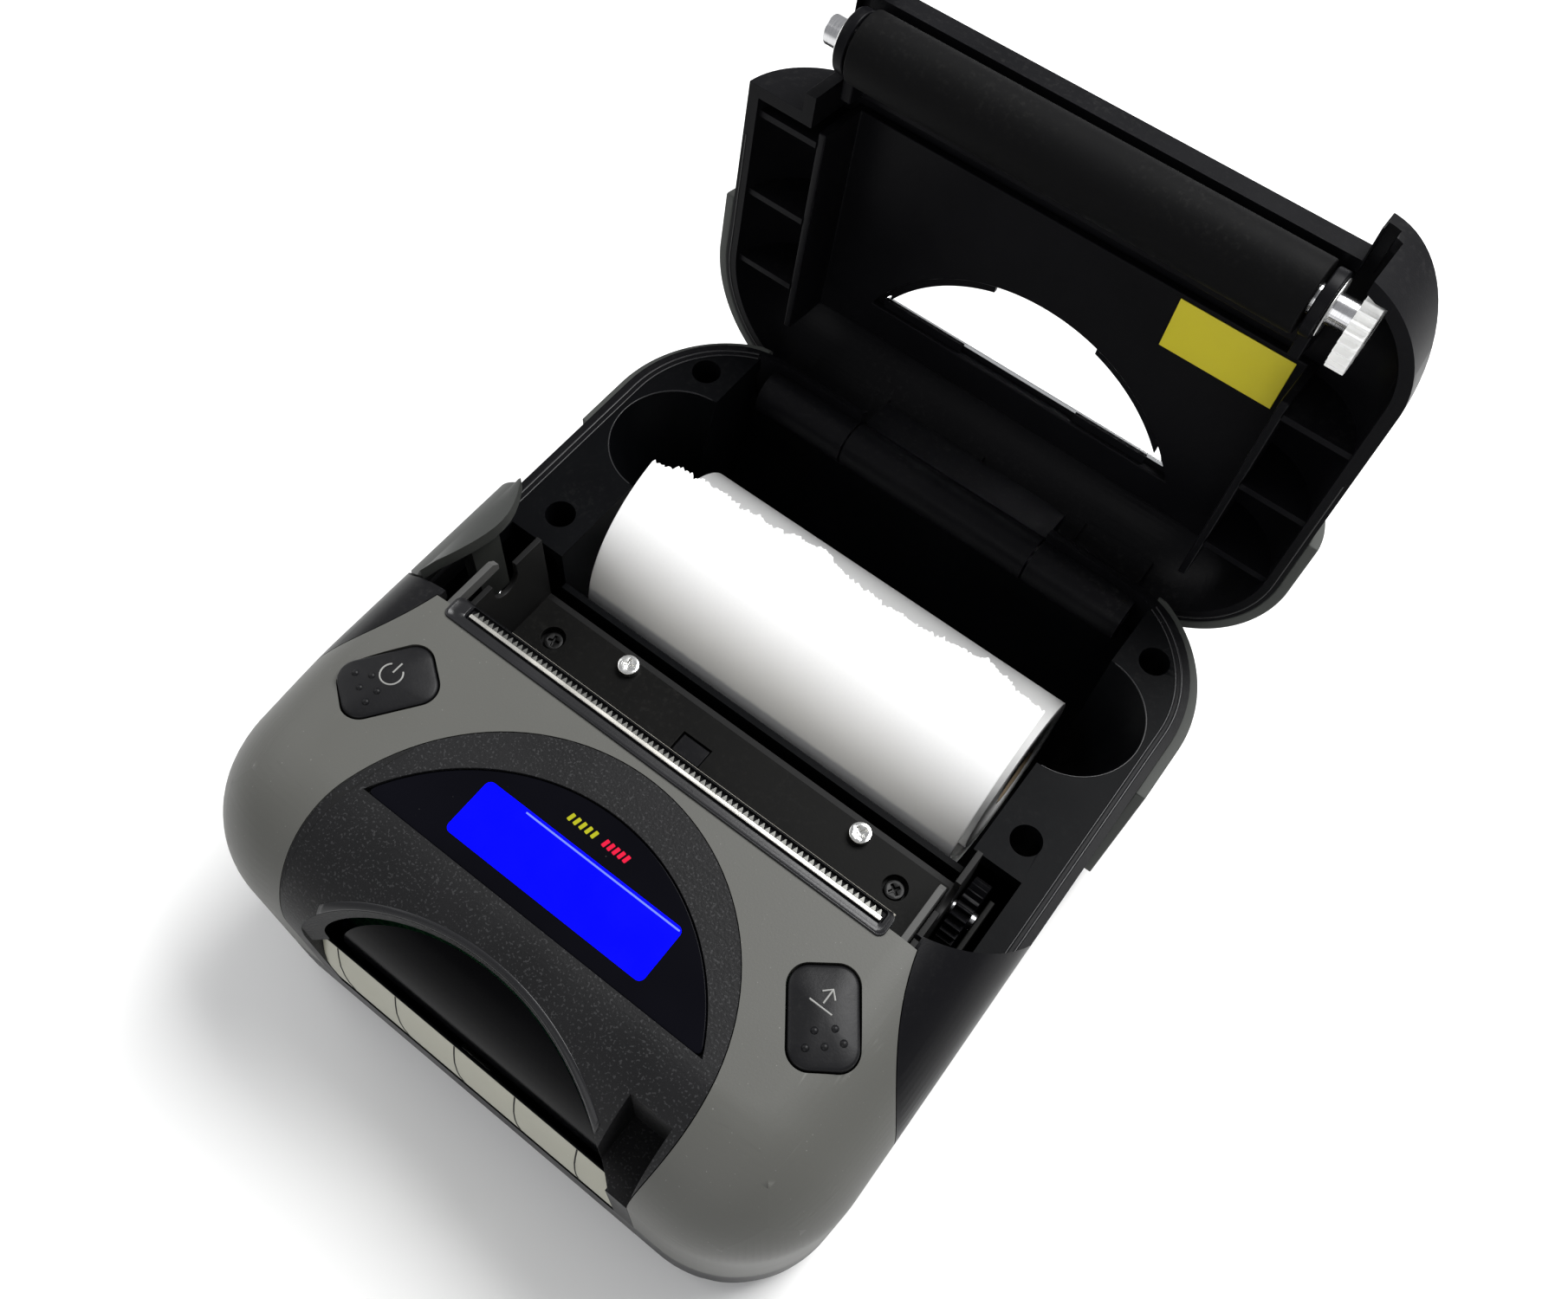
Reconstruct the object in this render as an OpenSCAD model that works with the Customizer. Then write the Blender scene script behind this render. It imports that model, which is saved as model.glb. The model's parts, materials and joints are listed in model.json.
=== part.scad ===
// Portable receipt printer with a hinged lid, drop-in paper bucket, card reader slot and display.
// X is to the right, Y to the rear, Z up. The origin is the centre of the underside.

/* [Body] */
// Width of the case, without the bumpers
body_w = 117; // [108:1:130]
// Length of the case, front to rear
body_len = 134; // [128:1:160]
// Height of the closed printer
body_h = 62; // [60:1:72]
// Height of the rim where the lid meets the base
rim_z = 46; // [44:0.5:50]
// Wall thickness of every casing
wall = 2.2; // [1.6:0.1:3]
// Height where the front cover meets the bottom case
split_z = 18; // [14:1:20]
// Plan radius of the front corners
front_r = 17; // [12:1:20]
// Plan radius of the rear corners
rear_r = 24; // [18:1:26]
// Radius of the shoulders along the top edges
shoulder_r = 16; // [12:0.5:16]
// Radius of the top edge at the front
brow_r = 19; // [14:0.5:19]
// Radius of the edge under the case
foot_r = 6; // [3:0.5:8]
// How far the bumpers stand out
bumper_t = 1.8; // [1:0.1:3]

/* [Paper] */
// Width of the paper
paper_w = 79.5; // [57:0.5:82]
// Radius of a full roll
roll_r = 25.5; // [20:0.5:26]
// Radius of the bucket that holds the roll
bucket_r = 27; // [26:0.5:29]
// Radius of the paper core
core_r = 8; // [6:0.5:10]

/* [Lid] */
// How far the lid stands open
lid_open = 98; // [0:1:98]
// Radius of the hinge knuckles
knuckle_r = 4.4; // [3.6:0.1:4.6]
// Radius of the hinge pin
hinge_pin_r = 1.5; // [1:0.1:2]
// Radius of the half-moon outlines of the window and the lens
moon_r = 35.3; // [30:0.1:38]

/* [Print mechanism] */
// Radius of the platen roller
platen_r = 6; // [5:0.1:6]
// Radius of the platen shaft
shaft_r = 2.5; // [1.5:0.1:3]
// Length of the platen roller
platen_len = 80; // [60:0.5:80]
// Radius of the drive motor
motor_r = 8; // [6:0.5:8.5]
// Gear module
gear_module = 0.5; // [0.4:0.05:0.5]
// Teeth on the platen gear
platen_teeth = 28; // [24:4:28]
// Teeth on each idler gear
idler_teeth = 24; // [20:4:24]
// Teeth on the motor pinion
pinion_teeth = 12; // [8:4:12]

/* [Keys] */
// Width of a key
key_w = 10; // [8:0.5:11]
// Length of a key
key_len = 14.5; // [11:0.5:15]
// Travel of a key
key_travel = 0.8; // [0.4:0.1:1]
// Travel of the lid release button
release_travel = 2; // [1:0.1:2]

/* [Hidden] */
$fn = 64;

eps = 0.01;
big = 200;
half_w = body_w / 2;
half_len = body_len / 2;
// Gap around parts that move against each other
run_gap = 0.4;
// Gap around parts that are fitted together
fit_gap = 0.15;
// Radial clearance of a turning shaft
turn_gap = 0.05;

// Parting line of the front cover
cover_rear_y = -17.3;
side_arc_r = 40;
side_arc_x = half_w + 26.1;
side_arc_y = cover_rear_y + 9.9;

// Lid outline
lid_z = rim_z + 0.35;
lid_front_y = cover_rear_y + 1.8;
lid_lip_y = -9.5;
lid_corner_r = 18;
release_x = -47.5;
release_y = 8;
lid_window_y = 46.3;

// Hinge
knuckle_half = 20.2;
hinge_half = 40;
hinge_y = half_len - knuckle_r - 0.1;
hinge_z = rim_z - 6.8;
// The lid's edges turn round outside this radius
sweep_r = rim_z - hinge_z - 0.1;
arm_t = 2.8;

// Platen in the closed lid, and the mechanism below it
platen_y = -5.15;
platen_z = rim_z + 4.7;
platen_x0 = -platen_len / 2 - 0.8;
platen_x1 = platen_x0 + platen_len;
cheek_t = 2;
sheet_t = 1;
left_plate_x = platen_x0 - 4.4;
right_plate_x = platen_x1 + 4.8;
gear_x = right_plate_x + sheet_t + 0.6;
gear_w = 3;
deck_z = rim_z - 10.6;
guide_z = deck_z + 1.2;
head_tilt = 23;
head_gap = 0.35;

// Gear train, each axle as [y, z]
function pitch_r(teeth) = gear_module * teeth / 2;
function along(p, dist, angle) = p + dist * [cos(angle), sin(angle)];
function mesh_phase(teeth_a, phase_a, angle, teeth_b) =
    angle + 180 - (0.5 - teeth_a * (angle - phase_a) / 360) * 360 / teeth_b;
gear_slack = 0.1;
platen_at = [platen_y, platen_z];
upper_angle = -70;
lower_angle = -120;
pinion_angle = -160;
upper_at = along(platen_at, pitch_r(platen_teeth) + pitch_r(idler_teeth) + gear_slack, upper_angle);
lower_at = along(upper_at, 2 * pitch_r(idler_teeth) + gear_slack, lower_angle);
pinion_at = along(lower_at, pitch_r(idler_teeth) + pitch_r(pinion_teeth) + gear_slack, pinion_angle);
platen_phase = upper_angle;
upper_phase = mesh_phase(platen_teeth, platen_phase, upper_angle, idler_teeth);
lower_phase = mesh_phase(idler_teeth, upper_phase, lower_angle, idler_teeth);
pinion_phase = mesh_phase(idler_teeth, lower_phase, pinion_angle, pinion_teeth);
motor_len = 17;
motor_shaft_r = 1;
idler_axle_r = 1.5;
bush_r = 3.6;

// Latch
latch_at = [-16, deck_z + 2.1];
latch_shaft_r = 1.5;
latch_hook_t = 1.1;
latch_xs = [left_plate_x - 1.6, platen_x1 + 3.4];
// How far the chassis plates reach in front of the latch and behind the platen
plate_front = 8.5;
plate_rear = 9.15;

// Paper bucket
bucket_y = 33.65;
bucket_z = 30.7;
bucket_half = paper_w / 2 + 3.15;
bucket_wall = 1.2;
bucket_front_z = guide_z + 0.4;
roll_z = bucket_z - (bucket_r - roll_r) + 0.3;
scoop_r = 12;
scoop_y = 37.5;
scoop_bottom_z = 14;

// Screw posts, each as [x, y]
post_z = rim_z - 16;
deck_t = 3.2;
case_posts = [[-48.8, 13], [48.8, 13], [-48.8, 54], [48.8, 54]];
post_r = 4;
screw_r = 1.45;
screw_head_r = 2.5;
chassis_posts = [[-37, -3.4], [36, -3.4]];
board_posts = [[-41, -56], [41, -56], [-41, -29], [41, -29]];
plate_screws_at = [[-23, 0.3], [26.3, 0.3]];

// Front: display and card slot
bezel_r = 35.3;
bezel_y = -half_len + 11;
lens_y = -half_len + 3.7;
lens_edge_y = -half_len + 19.4;
lens_t = 1.5;
lens_ledge = 1.2;
lcd_y = -40;
lcd_w = 36.6;
lcd_h = 9.6;
board_t = 1.6;
display_board_z = body_h - 7.6;
pocket_r = 45;
pocket_y = -half_len - 33.5;
slot_wall_half = 29.5;
slot_wall_t = 1.8;
slot_gap = 1.5;
slot_top_z = 40.4;
slot_floor_z = split_z + 6;
slot_groove_step = 11.5;
block_brow_r = 25;
// Notch beside the card slot, from its lowest to its highest corner
notch = [[26.4, -half_len - 1, 43], [33.7, -half_len + 10.4, big]];
key_x = 41;
key_y = -33;
key_angle = 36;
key_r = 3;
switch_h = 2;

// Battery and main board
battery_x = 36;
battery_y0 = -61;
battery_y1 = -23;
battery_top_z = 21;
board_z = 24;
board_half = 43.5;

// Anti-slip pads, each as [x, y]
pad_r = 4;
pad_depth = 1.4;
pads_at = [[-42, -50], [42, -50], [-42, 50], [42, 50]];

// Ports on the left side: the charging socket in front, the data port behind it
port_y = [17.6, 31.6];
port_z = 17;
port_h = 8;

// Print head, in its own frame
head_face = -platen_r - head_gap;
strip_t = 1.2;
sink_t = 4;
spring_len = 4.5;
head_back = head_face - strip_t - sink_t - spring_len;
spring_xs = [-25, 25];

// Tear bar
tear_half = 39.4;
tear_pitch = 1;
holder_x0 = -tear_half - 2.8;
holder_x1 = tear_half + 0.9;
holder_y0 = cover_rear_y - 0.6;
holder_y1 = cover_rear_y + 2.3;
holder_top_z = body_h - 0.6;
tear_gap_x = tear_half + 6;

// ---------- helpers ----------

// A rectangle with its own radius at each corner: [low left, low right, high left, high right].
module corner_rect(lo, hi, radii) {
    corners = [[lo[0], lo[1]], [hi[0], lo[1]], [lo[0], hi[1]], [hi[0], hi[1]]];
    inward = [[1, 1], [-1, 1], [1, -1], [-1, -1]];
    difference() {
        translate(lo) square(hi - lo);
        for (i = [0:3])
            translate(corners[i]) square(2 * radii[i], center = true);
    }
    for (i = [0:3])
        translate(corners[i] + radii[i] * inward[i]) circle(radii[i]);
}

// Extrudes an outline given in Y and Z along X, from x0 to x1.
module along_x(x0, x1) {
    translate([x0, 0, 0]) rotate([90, 0, 90]) linear_extrude(x1 - x0) children();
}

// Extrudes an outline given in X and Z along Y, over the whole body.
module along_y() {
    translate([0, big / 2, 0]) rotate([90, 0, 0]) linear_extrude(big) children();
}

// Extrudes an outline given in X and Y from z0 to z1.
module along_z(z0, z1) {
    translate([0, 0, z0]) linear_extrude(z1 - z0) children();
}

// A box from its lowest to its highest corner.
module block(lo, hi) {
    translate(lo) cube(hi - lo);
}

// A round bar along X at [y, z].
module bar_x(at, r, x0, x1) {
    translate([x0, at[0], at[1]]) rotate([0, 90, 0]) cylinder(r = r, h = x1 - x0);
}

// The closed printer's outside, moved inwards by inset.
module body_form(inset = 0) {
    intersection() {
        along_z(inset, body_h - inset)
            corner_rect([-half_w + inset, -half_len + inset], [half_w - inset, half_len - inset],
                        [front_r - inset, front_r - inset, rear_r - inset, rear_r - inset]);
        along_x(-big / 2, big / 2)
            corner_rect([-half_len + inset, inset], [half_len - inset, body_h - inset],
                        [foot_r - inset, foot_r - inset, brow_r - inset, shoulder_r - inset]);
        along_y()
            corner_rect([-half_w + inset, inset], [half_w - inset, body_h - inset],
                        [foot_r - inset, foot_r - inset, shoulder_r - inset, shoulder_r - inset]);
    }
}

// Plan of the front cover's zone, smaller by gap.
module cover_plan(gap = 0) {
    difference() {
        translate([-big / 2, -big / 2]) square([big, big / 2 + cover_rear_y - gap]);
        for (side = [-1, 1])
            translate([side * side_arc_x, side_arc_y]) circle(side_arc_r + gap);
    }
}

// Plan of everything behind the front cover and its side panels, larger by grow.
module rear_plan(grow = 0) {
    corner_rect([-half_w - grow, lid_front_y - grow], [half_w + grow, half_len + grow],
                [6, lid_corner_r + grow, 1, 1]);
}

// Plan of the lid, smaller by inset.
module lid_plan(inset = 0) {
    difference() {
        rear_plan(-inset);
        translate([-big / 2, -big / 2])
            square([big / 2 + release_x + inset, big / 2 + release_y + inset]);
        translate([holder_x0 - 0.5 - inset, -big / 2])
            square([holder_x1 - holder_x0 + 2 + 2 * inset, big / 2 + lid_lip_y + inset]);
    }
}

// Outline of a half moon: a circle of radius r cut off by the straight line at edge_y.
module half_moon(centre_y, edge_y, r, inset = 0) {
    side = edge_y > centre_y ? 1 : -1;
    intersection() {
        translate([0, centre_y]) circle(r - inset);
        translate([-big / 2, side > 0 ? edge_y + inset : edge_y - inset - big]) square(big);
    }
}

// Turns what belongs to the lid from its closed place to where it stands.
module on_lid() {
    translate([0, hinge_y, hinge_z]) rotate([-lid_open, 0, 0])
        translate([0, -hinge_y, -hinge_z]) children();
}

// A gear outline with its first tooth at the angle phase.
module gear_outline(teeth, phase) {
    root = pitch_r(teeth) - 1.2 * gear_module;
    tip = pitch_r(teeth) + 0.85 * gear_module;
    step = 360 / teeth;
    flank = [[root, -0.3], [tip, -0.09], [tip, 0.09], [root, 0.3]];
    polygon([for (i = [0:teeth - 1]) for (p = flank)
        p[0] * [cos(phase + (i + p[1]) * step), sin(phase + (i + p[1]) * step)]]);
}

// A gear with a bore, at [y, z].
module gear(at, teeth, phase, bore_r) {
    difference() {
        along_x(gear_x, gear_x + gear_w) translate(at) gear_outline(teeth, phase);
        bar_x(at, bore_r, gear_x - 1, gear_x + gear_w + 1);
    }
}

// A pan-head screw pointing down, its head's underside at [x, y, z].
module screw(at, r, head_r, length) {
    translate([at[0], at[1], at[2] - length]) cylinder(r = r, h = length);
    translate(at) difference() {
        cylinder(r = head_r, h = 0.7 * head_r);
        for (turn = [0, 90])
            rotate([0, 0, turn]) translate([0, 0, 0.85 * head_r])
                cube([head_r * 1.2, head_r * 0.25, head_r], center = true);
    }
}

// ---------- casing ----------

// Plan shape of the space behind the lens arc, cut out of the front cover for the bezel.
module bezel_plan(inset = 0) {
    translate([0, bezel_y]) circle(bezel_r - inset);
}

// Arms and middle knuckle of the hinge need this slot in the rear wall.
module hinge_slot() {
    block([-knuckle_half - run_gap, hinge_y - 6, hinge_z - 4.8],
          [knuckle_half + run_gap, half_len + 1, rim_z + 1]);
}

// The rear wall stays inside this round shape, so that the turning lid passes it.
module lid_sweep_cut() {
    difference() {
        block([-big, hinge_y - 1, hinge_z], [big, big, big]);
        bar_x([hinge_y, hinge_z], sweep_r, -big, big);
    }
}

// The battery opening in the floor.
module battery_opening() {
    block([-battery_x - 2, battery_y0 - 1.5, -1],
          [battery_x + 2, battery_y1 + 1.5, wall + 1]);
}

module bottom_case() {
    color("#17171a") {
        difference() {
            body_form();
            body_form(wall);
            // everything under the front cover and the lid
            along_z(split_z, big) cover_plan(-fit_gap);
            difference() {
                along_z(rim_z, big) rear_plan(run_gap);
                along_z(rim_z - 1, big) cover_plan(0);
            }
            hinge_slot();
            lid_sweep_cut();
            battery_opening();
            for (at = pads_at)
                translate([at[0], at[1], -1]) cylinder(r = pad_r, h = pad_depth + 1);
            port_opening();
            // open behind the front cover, from one side panel to the other
            block([-tear_gap_x, cover_rear_y - 1, rim_z], [tear_gap_x, lid_front_y, big]);
        }
        // hinge knuckles at both ends, standing on the rear wall
        difference() {
            for (side = [-1, 1])
                hinge_knuckle(side * (hinge_half + knuckle_half + run_gap) / 2,
                              hinge_half - knuckle_half - run_gap);
            bar_x([hinge_y, hinge_z], hinge_pin_r + 0.01, -hinge_half - 1, hinge_half + 1);
        }
        for (at = case_posts) screw_post(at, post_z, post_r);
        for (at = chassis_posts) screw_post(at, deck_z - sheet_t, 3);
        for (at = board_posts) screw_post(at, board_z, 2.6);
        translate([release_x - 4, -3, wall - 0.5]) cylinder(r = 2.8, h = post_z - 2 - wall + 0.5);
    }
}

// A knuckle of the base, with the web that ties it to the rear wall.
module hinge_knuckle(x, length) {
    bar_x([hinge_y, hinge_z], knuckle_r, x - length / 2, x + length / 2);
    difference() {
        block([x - length / 2, half_len - wall - 1.5, hinge_z - 12],
              [x + length / 2, half_len - wall + 0.5, hinge_z]);
        bar_x([hinge_y, hinge_z], hinge_pin_r + 0.5, x - length, x + length);
    }
}

// A post that stands on the floor, with a pilot hole.
module screw_post(at, top, r) {
    difference() {
        translate([at[0], at[1], wall - 0.5]) cylinder(r = r, h = top - wall + 0.5);
        translate([at[0], at[1], top - 11]) cylinder(r = screw_r + 0.02, h = 12);
    }
}

module battery_door() {
    color("#17171a") difference() {
        battery_opening_plate();
        for (x = [-6:3:6])
            block([x - 0.6, battery_y1 - 8, -1], [x + 0.6, battery_y1 - 3, 0.6]);
    }
}

module battery_opening_plate() {
    block([-battery_x - 2 + run_gap, battery_y0 - 1.5 + run_gap, 0],
          [battery_x + 2 - run_gap, battery_y1 + 1.5 - run_gap, wall]);
}

module antislip_pads() {
    color("#2a2a2c")
        for (at = pads_at)
            translate([at[0], at[1], 0]) cylinder(r = pad_r - 0.02, h = pad_depth);
}

// Opening over the bucket and the print mechanism, seen from above.
module deck_opening() {
    // bucket and mechanism bay
    block([-bucket_half, -big / 2, bucket_front_z], [bucket_half, hinge_y + 10, big]);
    // gear bay on the right and latch bay on the left
    block([bucket_half - eps, -big / 2, post_z], [gear_x + gear_w + 3.4, 6.6, big]);
    block([release_x - 6.7, -big / 2, post_z], [-bucket_half + eps, 6.6, big]);
}

// The half-round trough, open upwards.
module trough(r, x0, x1) {
    bar_x([bucket_y, bucket_z], r, x0, x1);
    block([x0, bucket_y - r, bucket_z], [x1, bucket_y + r, big]);
}

// Hand scoops at both ends of the roll.
module scoops(grow) {
    for (side = [-1, 1])
        translate([side * bucket_half, scoop_y, scoop_bottom_z - grow])
            cylinder(r1 = 3 + grow, r2 = scoop_r + grow, h = rim_z - scoop_bottom_z + grow);
}

module inner_frame() {
    color("#1b1b1f") difference() {
        intersection() {
            body_form(wall);
            union() {
                // deck
                block([-half_w, lid_front_y, rim_z - deck_t], [half_w, half_len, rim_z]);
                // bucket
                trough(bucket_r + bucket_wall, -bucket_half - 1.6, bucket_half + 1.6);
                scoops(1.4);
                for (at = case_posts)
                    translate([at[0], at[1], post_z]) cylinder(r = post_r + 0.2, h = rim_z - post_z);
            }
            block([-big, lid_front_y, 0], [big, big, rim_z]);
        }
        deck_opening();
        trough(bucket_r, -bucket_half, bucket_half);
        intersection() {
            scoops(0);
            block([-big, -big, 0], [big, big, rim_z]);
        }
        translate([0, 0, rim_z - eps]) block([-big, -big, 0], [big, big, 1]);
        // room for the hinge and its knuckles
        block([-hinge_half - 0.4, hinge_y - knuckle_r - 0.5, hinge_z - knuckle_r - 0.6],
              [hinge_half + 0.4, half_len, big]);
        lid_sweep_cut();
        for (at = case_posts) {
            translate([at[0], at[1], post_z - 1]) cylinder(r = screw_r + 0.15, h = 10);
            translate([at[0], at[1], post_z + 2]) cylinder(r = screw_head_r + 0.2, h = 30);
        }
    }
}

module case_screws() {
    color("#8c8c90")
        for (at = case_posts) screw([at[0], at[1], post_z + 2], screw_r, screw_head_r, 11);
}

// Wraps round a corner of the case, between two heights.
module corner_bumper(side, z0, z1) {
    intersection() {
        difference() {
            body_form(-bumper_t);
            body_form();
        }
        block([side < 0 ? -big : 43, 31.8, z0], [side < 0 ? -43 : big, big, z1]);
    }
}

module rear_bumper(side) {
    color("#6d6d68") difference() {
        corner_bumper(side, 8, rim_z - 1.5);
        lid_sweep_cut();
    }
}

module key_outline(side, grow = 0) {
    translate([side * key_x, key_y]) rotate(side * key_angle)
        corner_rect([-key_w / 2 - grow, -key_len / 2 - grow], [key_w / 2 + grow, key_len / 2 + grow],
                    [key_r + grow, key_r + grow, key_r + grow, key_r + grow]);
}

module front_cover() {
    color("#74746e") difference() {
        intersection() {
            body_form();
            along_z(split_z, big) cover_plan();
        }
        body_form(wall);
        along_z(0, big) bezel_plan();
        for (side = [-1, 1]) along_z(split_z, big) key_outline(side, 0.3);
        block([holder_x0, holder_y0, rim_z], [holder_x1, 0, big]);
    }
}

// Outline of the pocket above the card slot, as a plan.
module pocket_plan(inset = 0) {
    intersection() {
        translate([0, pocket_y]) circle(pocket_r - inset);
        translate([-slot_wall_half + inset, -big / 2]) square([2 * (slot_wall_half - inset), big]);
    }
}

module display_bezel() {
    color("#222225") difference() {
        intersection() {
            body_form();
            along_z(split_z, big) bezel_plan(fit_gap);
            along_z(split_z, big) cover_plan();
        }
        difference() {
            body_form(wall);
            // the notch has walls and a floor of its own
            block([notch[0][0] - 1.1, notch[0][1] - 1, notch[0][2] - 1.2],
                  [notch[1][0] + 1.3, notch[1][1] + 1.2, big]);
        }
        along_z(0, big) pocket_plan();
        block([-slot_wall_half, -big, 0],
              [slot_wall_half, -half_len + slot_wall_t + slot_gap, slot_top_z]);
        // seat of the lens and the window below it
        along_z(body_h - lens_t - 0.3, big) half_moon(lens_y, lens_edge_y, moon_r - fit_gap);
        intersection() {
            block([-lcd_w / 2 - 1, lcd_y - lcd_h / 2 - 1, 0],
                  [lcd_w / 2 + 1, lcd_y + lcd_h / 2 + 4.5, big]);
            along_z(0, big) half_moon(lens_y, lens_edge_y, moon_r - fit_gap, lens_ledge);
        }
        block(notch[0], notch[1]);
    }
}

module display_lens() {
    color("#0c0c14") along_z(body_h - lens_t - 0.3, body_h - 0.3)
        half_moon(lens_y, lens_edge_y, moon_r - fit_gap, 0.1);
}

module lcd_module() {
    color("#1414e6") block([-lcd_w / 2 - 3, lcd_y - lcd_h / 2 - 2, display_board_z + board_t],
                           [lcd_w / 2 + 3, lcd_y + lcd_h / 2 + 2, body_h - wall - 0.2]);
}

module indicator_lights() {
    color("#b4c83c")
        for (x = [-3.5, 3])
            translate([x, lcd_y + lcd_h / 2 + 3.5, display_board_z + board_t])
                cylinder(r = 1.1, h = body_h - wall - 0.3 - display_board_z - board_t);
}

module display_board() {
    color("#1e5a32") block([-46, lcd_y - 7, display_board_z], [46, lcd_y + 17, display_board_z + board_t]);
}

module key_switches() {
    color("#323234")
        for (side = [-1, 1])
            translate([side * key_x, key_y, display_board_z + board_t]) {
                translate([-3, -3, 0]) cube([6, 6, switch_h - 0.5]);
                cylinder(r = 1.6, h = switch_h);
            }
}

module key_button(side) {
    color("#1c1c1f") difference() {
        along_z(display_board_z + board_t + switch_h + key_travel + 0.3, body_h + 0.2)
            key_outline(side);
        along_z(0, body_h - 1.4) difference() {
            key_outline(side, -1.4);
            translate([side * key_x, key_y]) circle(1.8);
        }
    }
}

// ---------- card reader ----------

// Side view of the card slot block: a floor, an upright face and a rounded brow.
module block_outline() {
    face_y = -half_len + slot_wall_t + slot_gap;
    difference() {
        union() {
            translate([face_y, split_z - 1]) square([30, slot_top_z - split_z]);
            intersection() {
                translate([face_y + block_brow_r, slot_top_z - 1.4]) circle(block_brow_r);
                translate([face_y, slot_top_z - 2]) square([30, 40]);
            }
        }
        translate([-half_len + 15, 0]) square([big, big]);
    }
}

module card_slot_block() {
    color("#0a0a0c") difference() {
        intersection() {
            along_x(-slot_wall_half, slot_wall_half) union() {
                block_outline();
                translate([-half_len + slot_wall_t, split_z])
                    square([slot_gap + 1, slot_floor_z - split_z]);
            }
            along_z(split_z, body_h - wall - 0.2) pocket_plan(fit_gap);
        }
        translate([0, 2, -2]) intersection() {
            along_x(-slot_wall_half + 2, slot_wall_half - 2) block_outline();
            along_z(0, body_h - wall - 2) pocket_plan(0);
        }
        // window of the magnetic head
        block([-5.2, -half_len + slot_wall_t, slot_floor_z + 3.4],
              [5.2, -half_len + 12, slot_floor_z + 9.6]);
    }
}

module card_slot_wall() {
    color("#9a9a92") difference() {
        block([-slot_wall_half, -half_len, split_z],
              [slot_wall_half, -half_len + slot_wall_t, slot_top_z]);
        for (i = [-2:2])
            translate([i * slot_groove_step, -half_len, 0])
                block([-0.25, -1, split_z + 3], [0.25, 0.3, slot_top_z + 1]);
    }
}

module magnetic_head() {
    color("#b4b4b8") {
        block([-5, -half_len + slot_wall_t + slot_gap, slot_floor_z + 3.6],
              [5, -half_len + 9, slot_floor_z + 9.4]);
        translate([0, -half_len + slot_wall_t + slot_gap, slot_floor_z + 6.5])
            rotate([0, 90, 0]) cylinder(r = 0.8, h = 6, center = true);
    }
}

// ---------- lid release and latch ----------

module release_button() {
    color("#6d6d68") {
        intersection() {
            difference() {
                body_form();
                body_form(wall + 0.4);
            }
            along_z(rim_z + release_travel + run_gap, big) intersection() {
                rear_plan();
                translate([-big, -big]) square([big + release_x - run_gap, big + release_y - run_gap]);
            }
        }
        // leg that reaches down to the spring and the latch
        intersection() {
            block([release_x - 5.5, -6, deck_z + 3], [release_x - 2.5, 0, big]);
            body_form(wall - eps);
        }
    }
}

module release_spring() {
    color("#b4b4b8") translate([release_x - 4, -3, post_z - 2]) difference() {
        cylinder(r = 1.8, h = deck_z + 3 - post_z + 2);
        translate([0, 0, -1]) cylinder(r = 1.3, h = 30);
    }
}

// Side view of a hook that reaches over the platen shaft.
module hook_outline() {
    top = platen_z + shaft_r + 0.3;
    difference() {
        union() {
            translate(latch_at) circle(3);
            translate([latch_at[0] - 1.5, latch_at[1]]) square([3, top + 2.5 - latch_at[1]]);
            translate([latch_at[0] - 1.5, top]) square([platen_y - latch_at[0] + 2, 2.5]);
        }
        // lead-in that the shaft pushes aside as the lid closes
        translate([platen_y + 1.3, top + 0.6]) rotate(45) square(4);
    }
}

module latch() {
    color("#c8c8cc") {
        bar_x(latch_at, latch_shaft_r, left_plate_x - 1.8, right_plate_x + sheet_t + 0.3);
        for (x = latch_xs)
            along_x(x, x + latch_hook_t) hook_outline();
    }
}

// ---------- print mechanism ----------

// Side view of a chassis plate, open upwards where the platen shaft drops in.
module plate_outline() {
    slot = shaft_r + 0.3;
    difference() {
        translate([latch_at[0] - plate_front, deck_z - sheet_t])
            square([platen_y + plate_rear - latch_at[0] + plate_front,
                    platen_z + 2.5 - deck_z + sheet_t]);
        translate(platen_at) circle(slot);
        translate([platen_y - slot, platen_z]) square([2 * slot, big]);
        translate(latch_at) circle(latch_shaft_r + turn_gap);
    }
}

module print_chassis() {
    color("#a5a5aa") difference() {
        union() {
            along_x(left_plate_x, left_plate_x + sheet_t) plate_outline();
            along_x(right_plate_x, right_plate_x + sheet_t) union() {
                plate_outline();
                // lower apron that carries the motor and the idler axles
                translate([latch_at[0] - plate_front, 14])
                    square([plate_front - latch_at[0] + 1, deck_z - 14]);
            }
            block([left_plate_x + sheet_t / 2, -12, deck_z - sheet_t],
                  [right_plate_x + sheet_t / 2, platen_y + plate_rear, deck_z]);
            for (at = plate_screws_at)
                translate([at[0], at[1], deck_z - eps]) cylinder(r = 3, h = guide_z - deck_z + eps);
            in_head_frame() block([left_plate_x + sheet_t / 2, head_back - sheet_t, -2],
                                  [right_plate_x + sheet_t / 2, head_back, 4.5]);
        }
        for (at = plate_screws_at)
            translate([at[0], at[1], deck_z - 3]) cylinder(r = 1.05, h = 10);
        for (at = chassis_posts)
            translate([at[0], at[1], deck_z - 3]) cylinder(r = screw_r + 0.15, h = 10);
        bar_x(pinion_at, 3, right_plate_x - 1, right_plate_x + 3);
        for (at = [upper_at, lower_at])
            bar_x(at, idler_axle_r, right_plate_x - 1, right_plate_x + 3);
    }
}

module chassis_screws() {
    color("#8c8c90")
        for (at = chassis_posts) screw([at[0], at[1], deck_z], screw_r, 1.7, 9);
}

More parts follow.
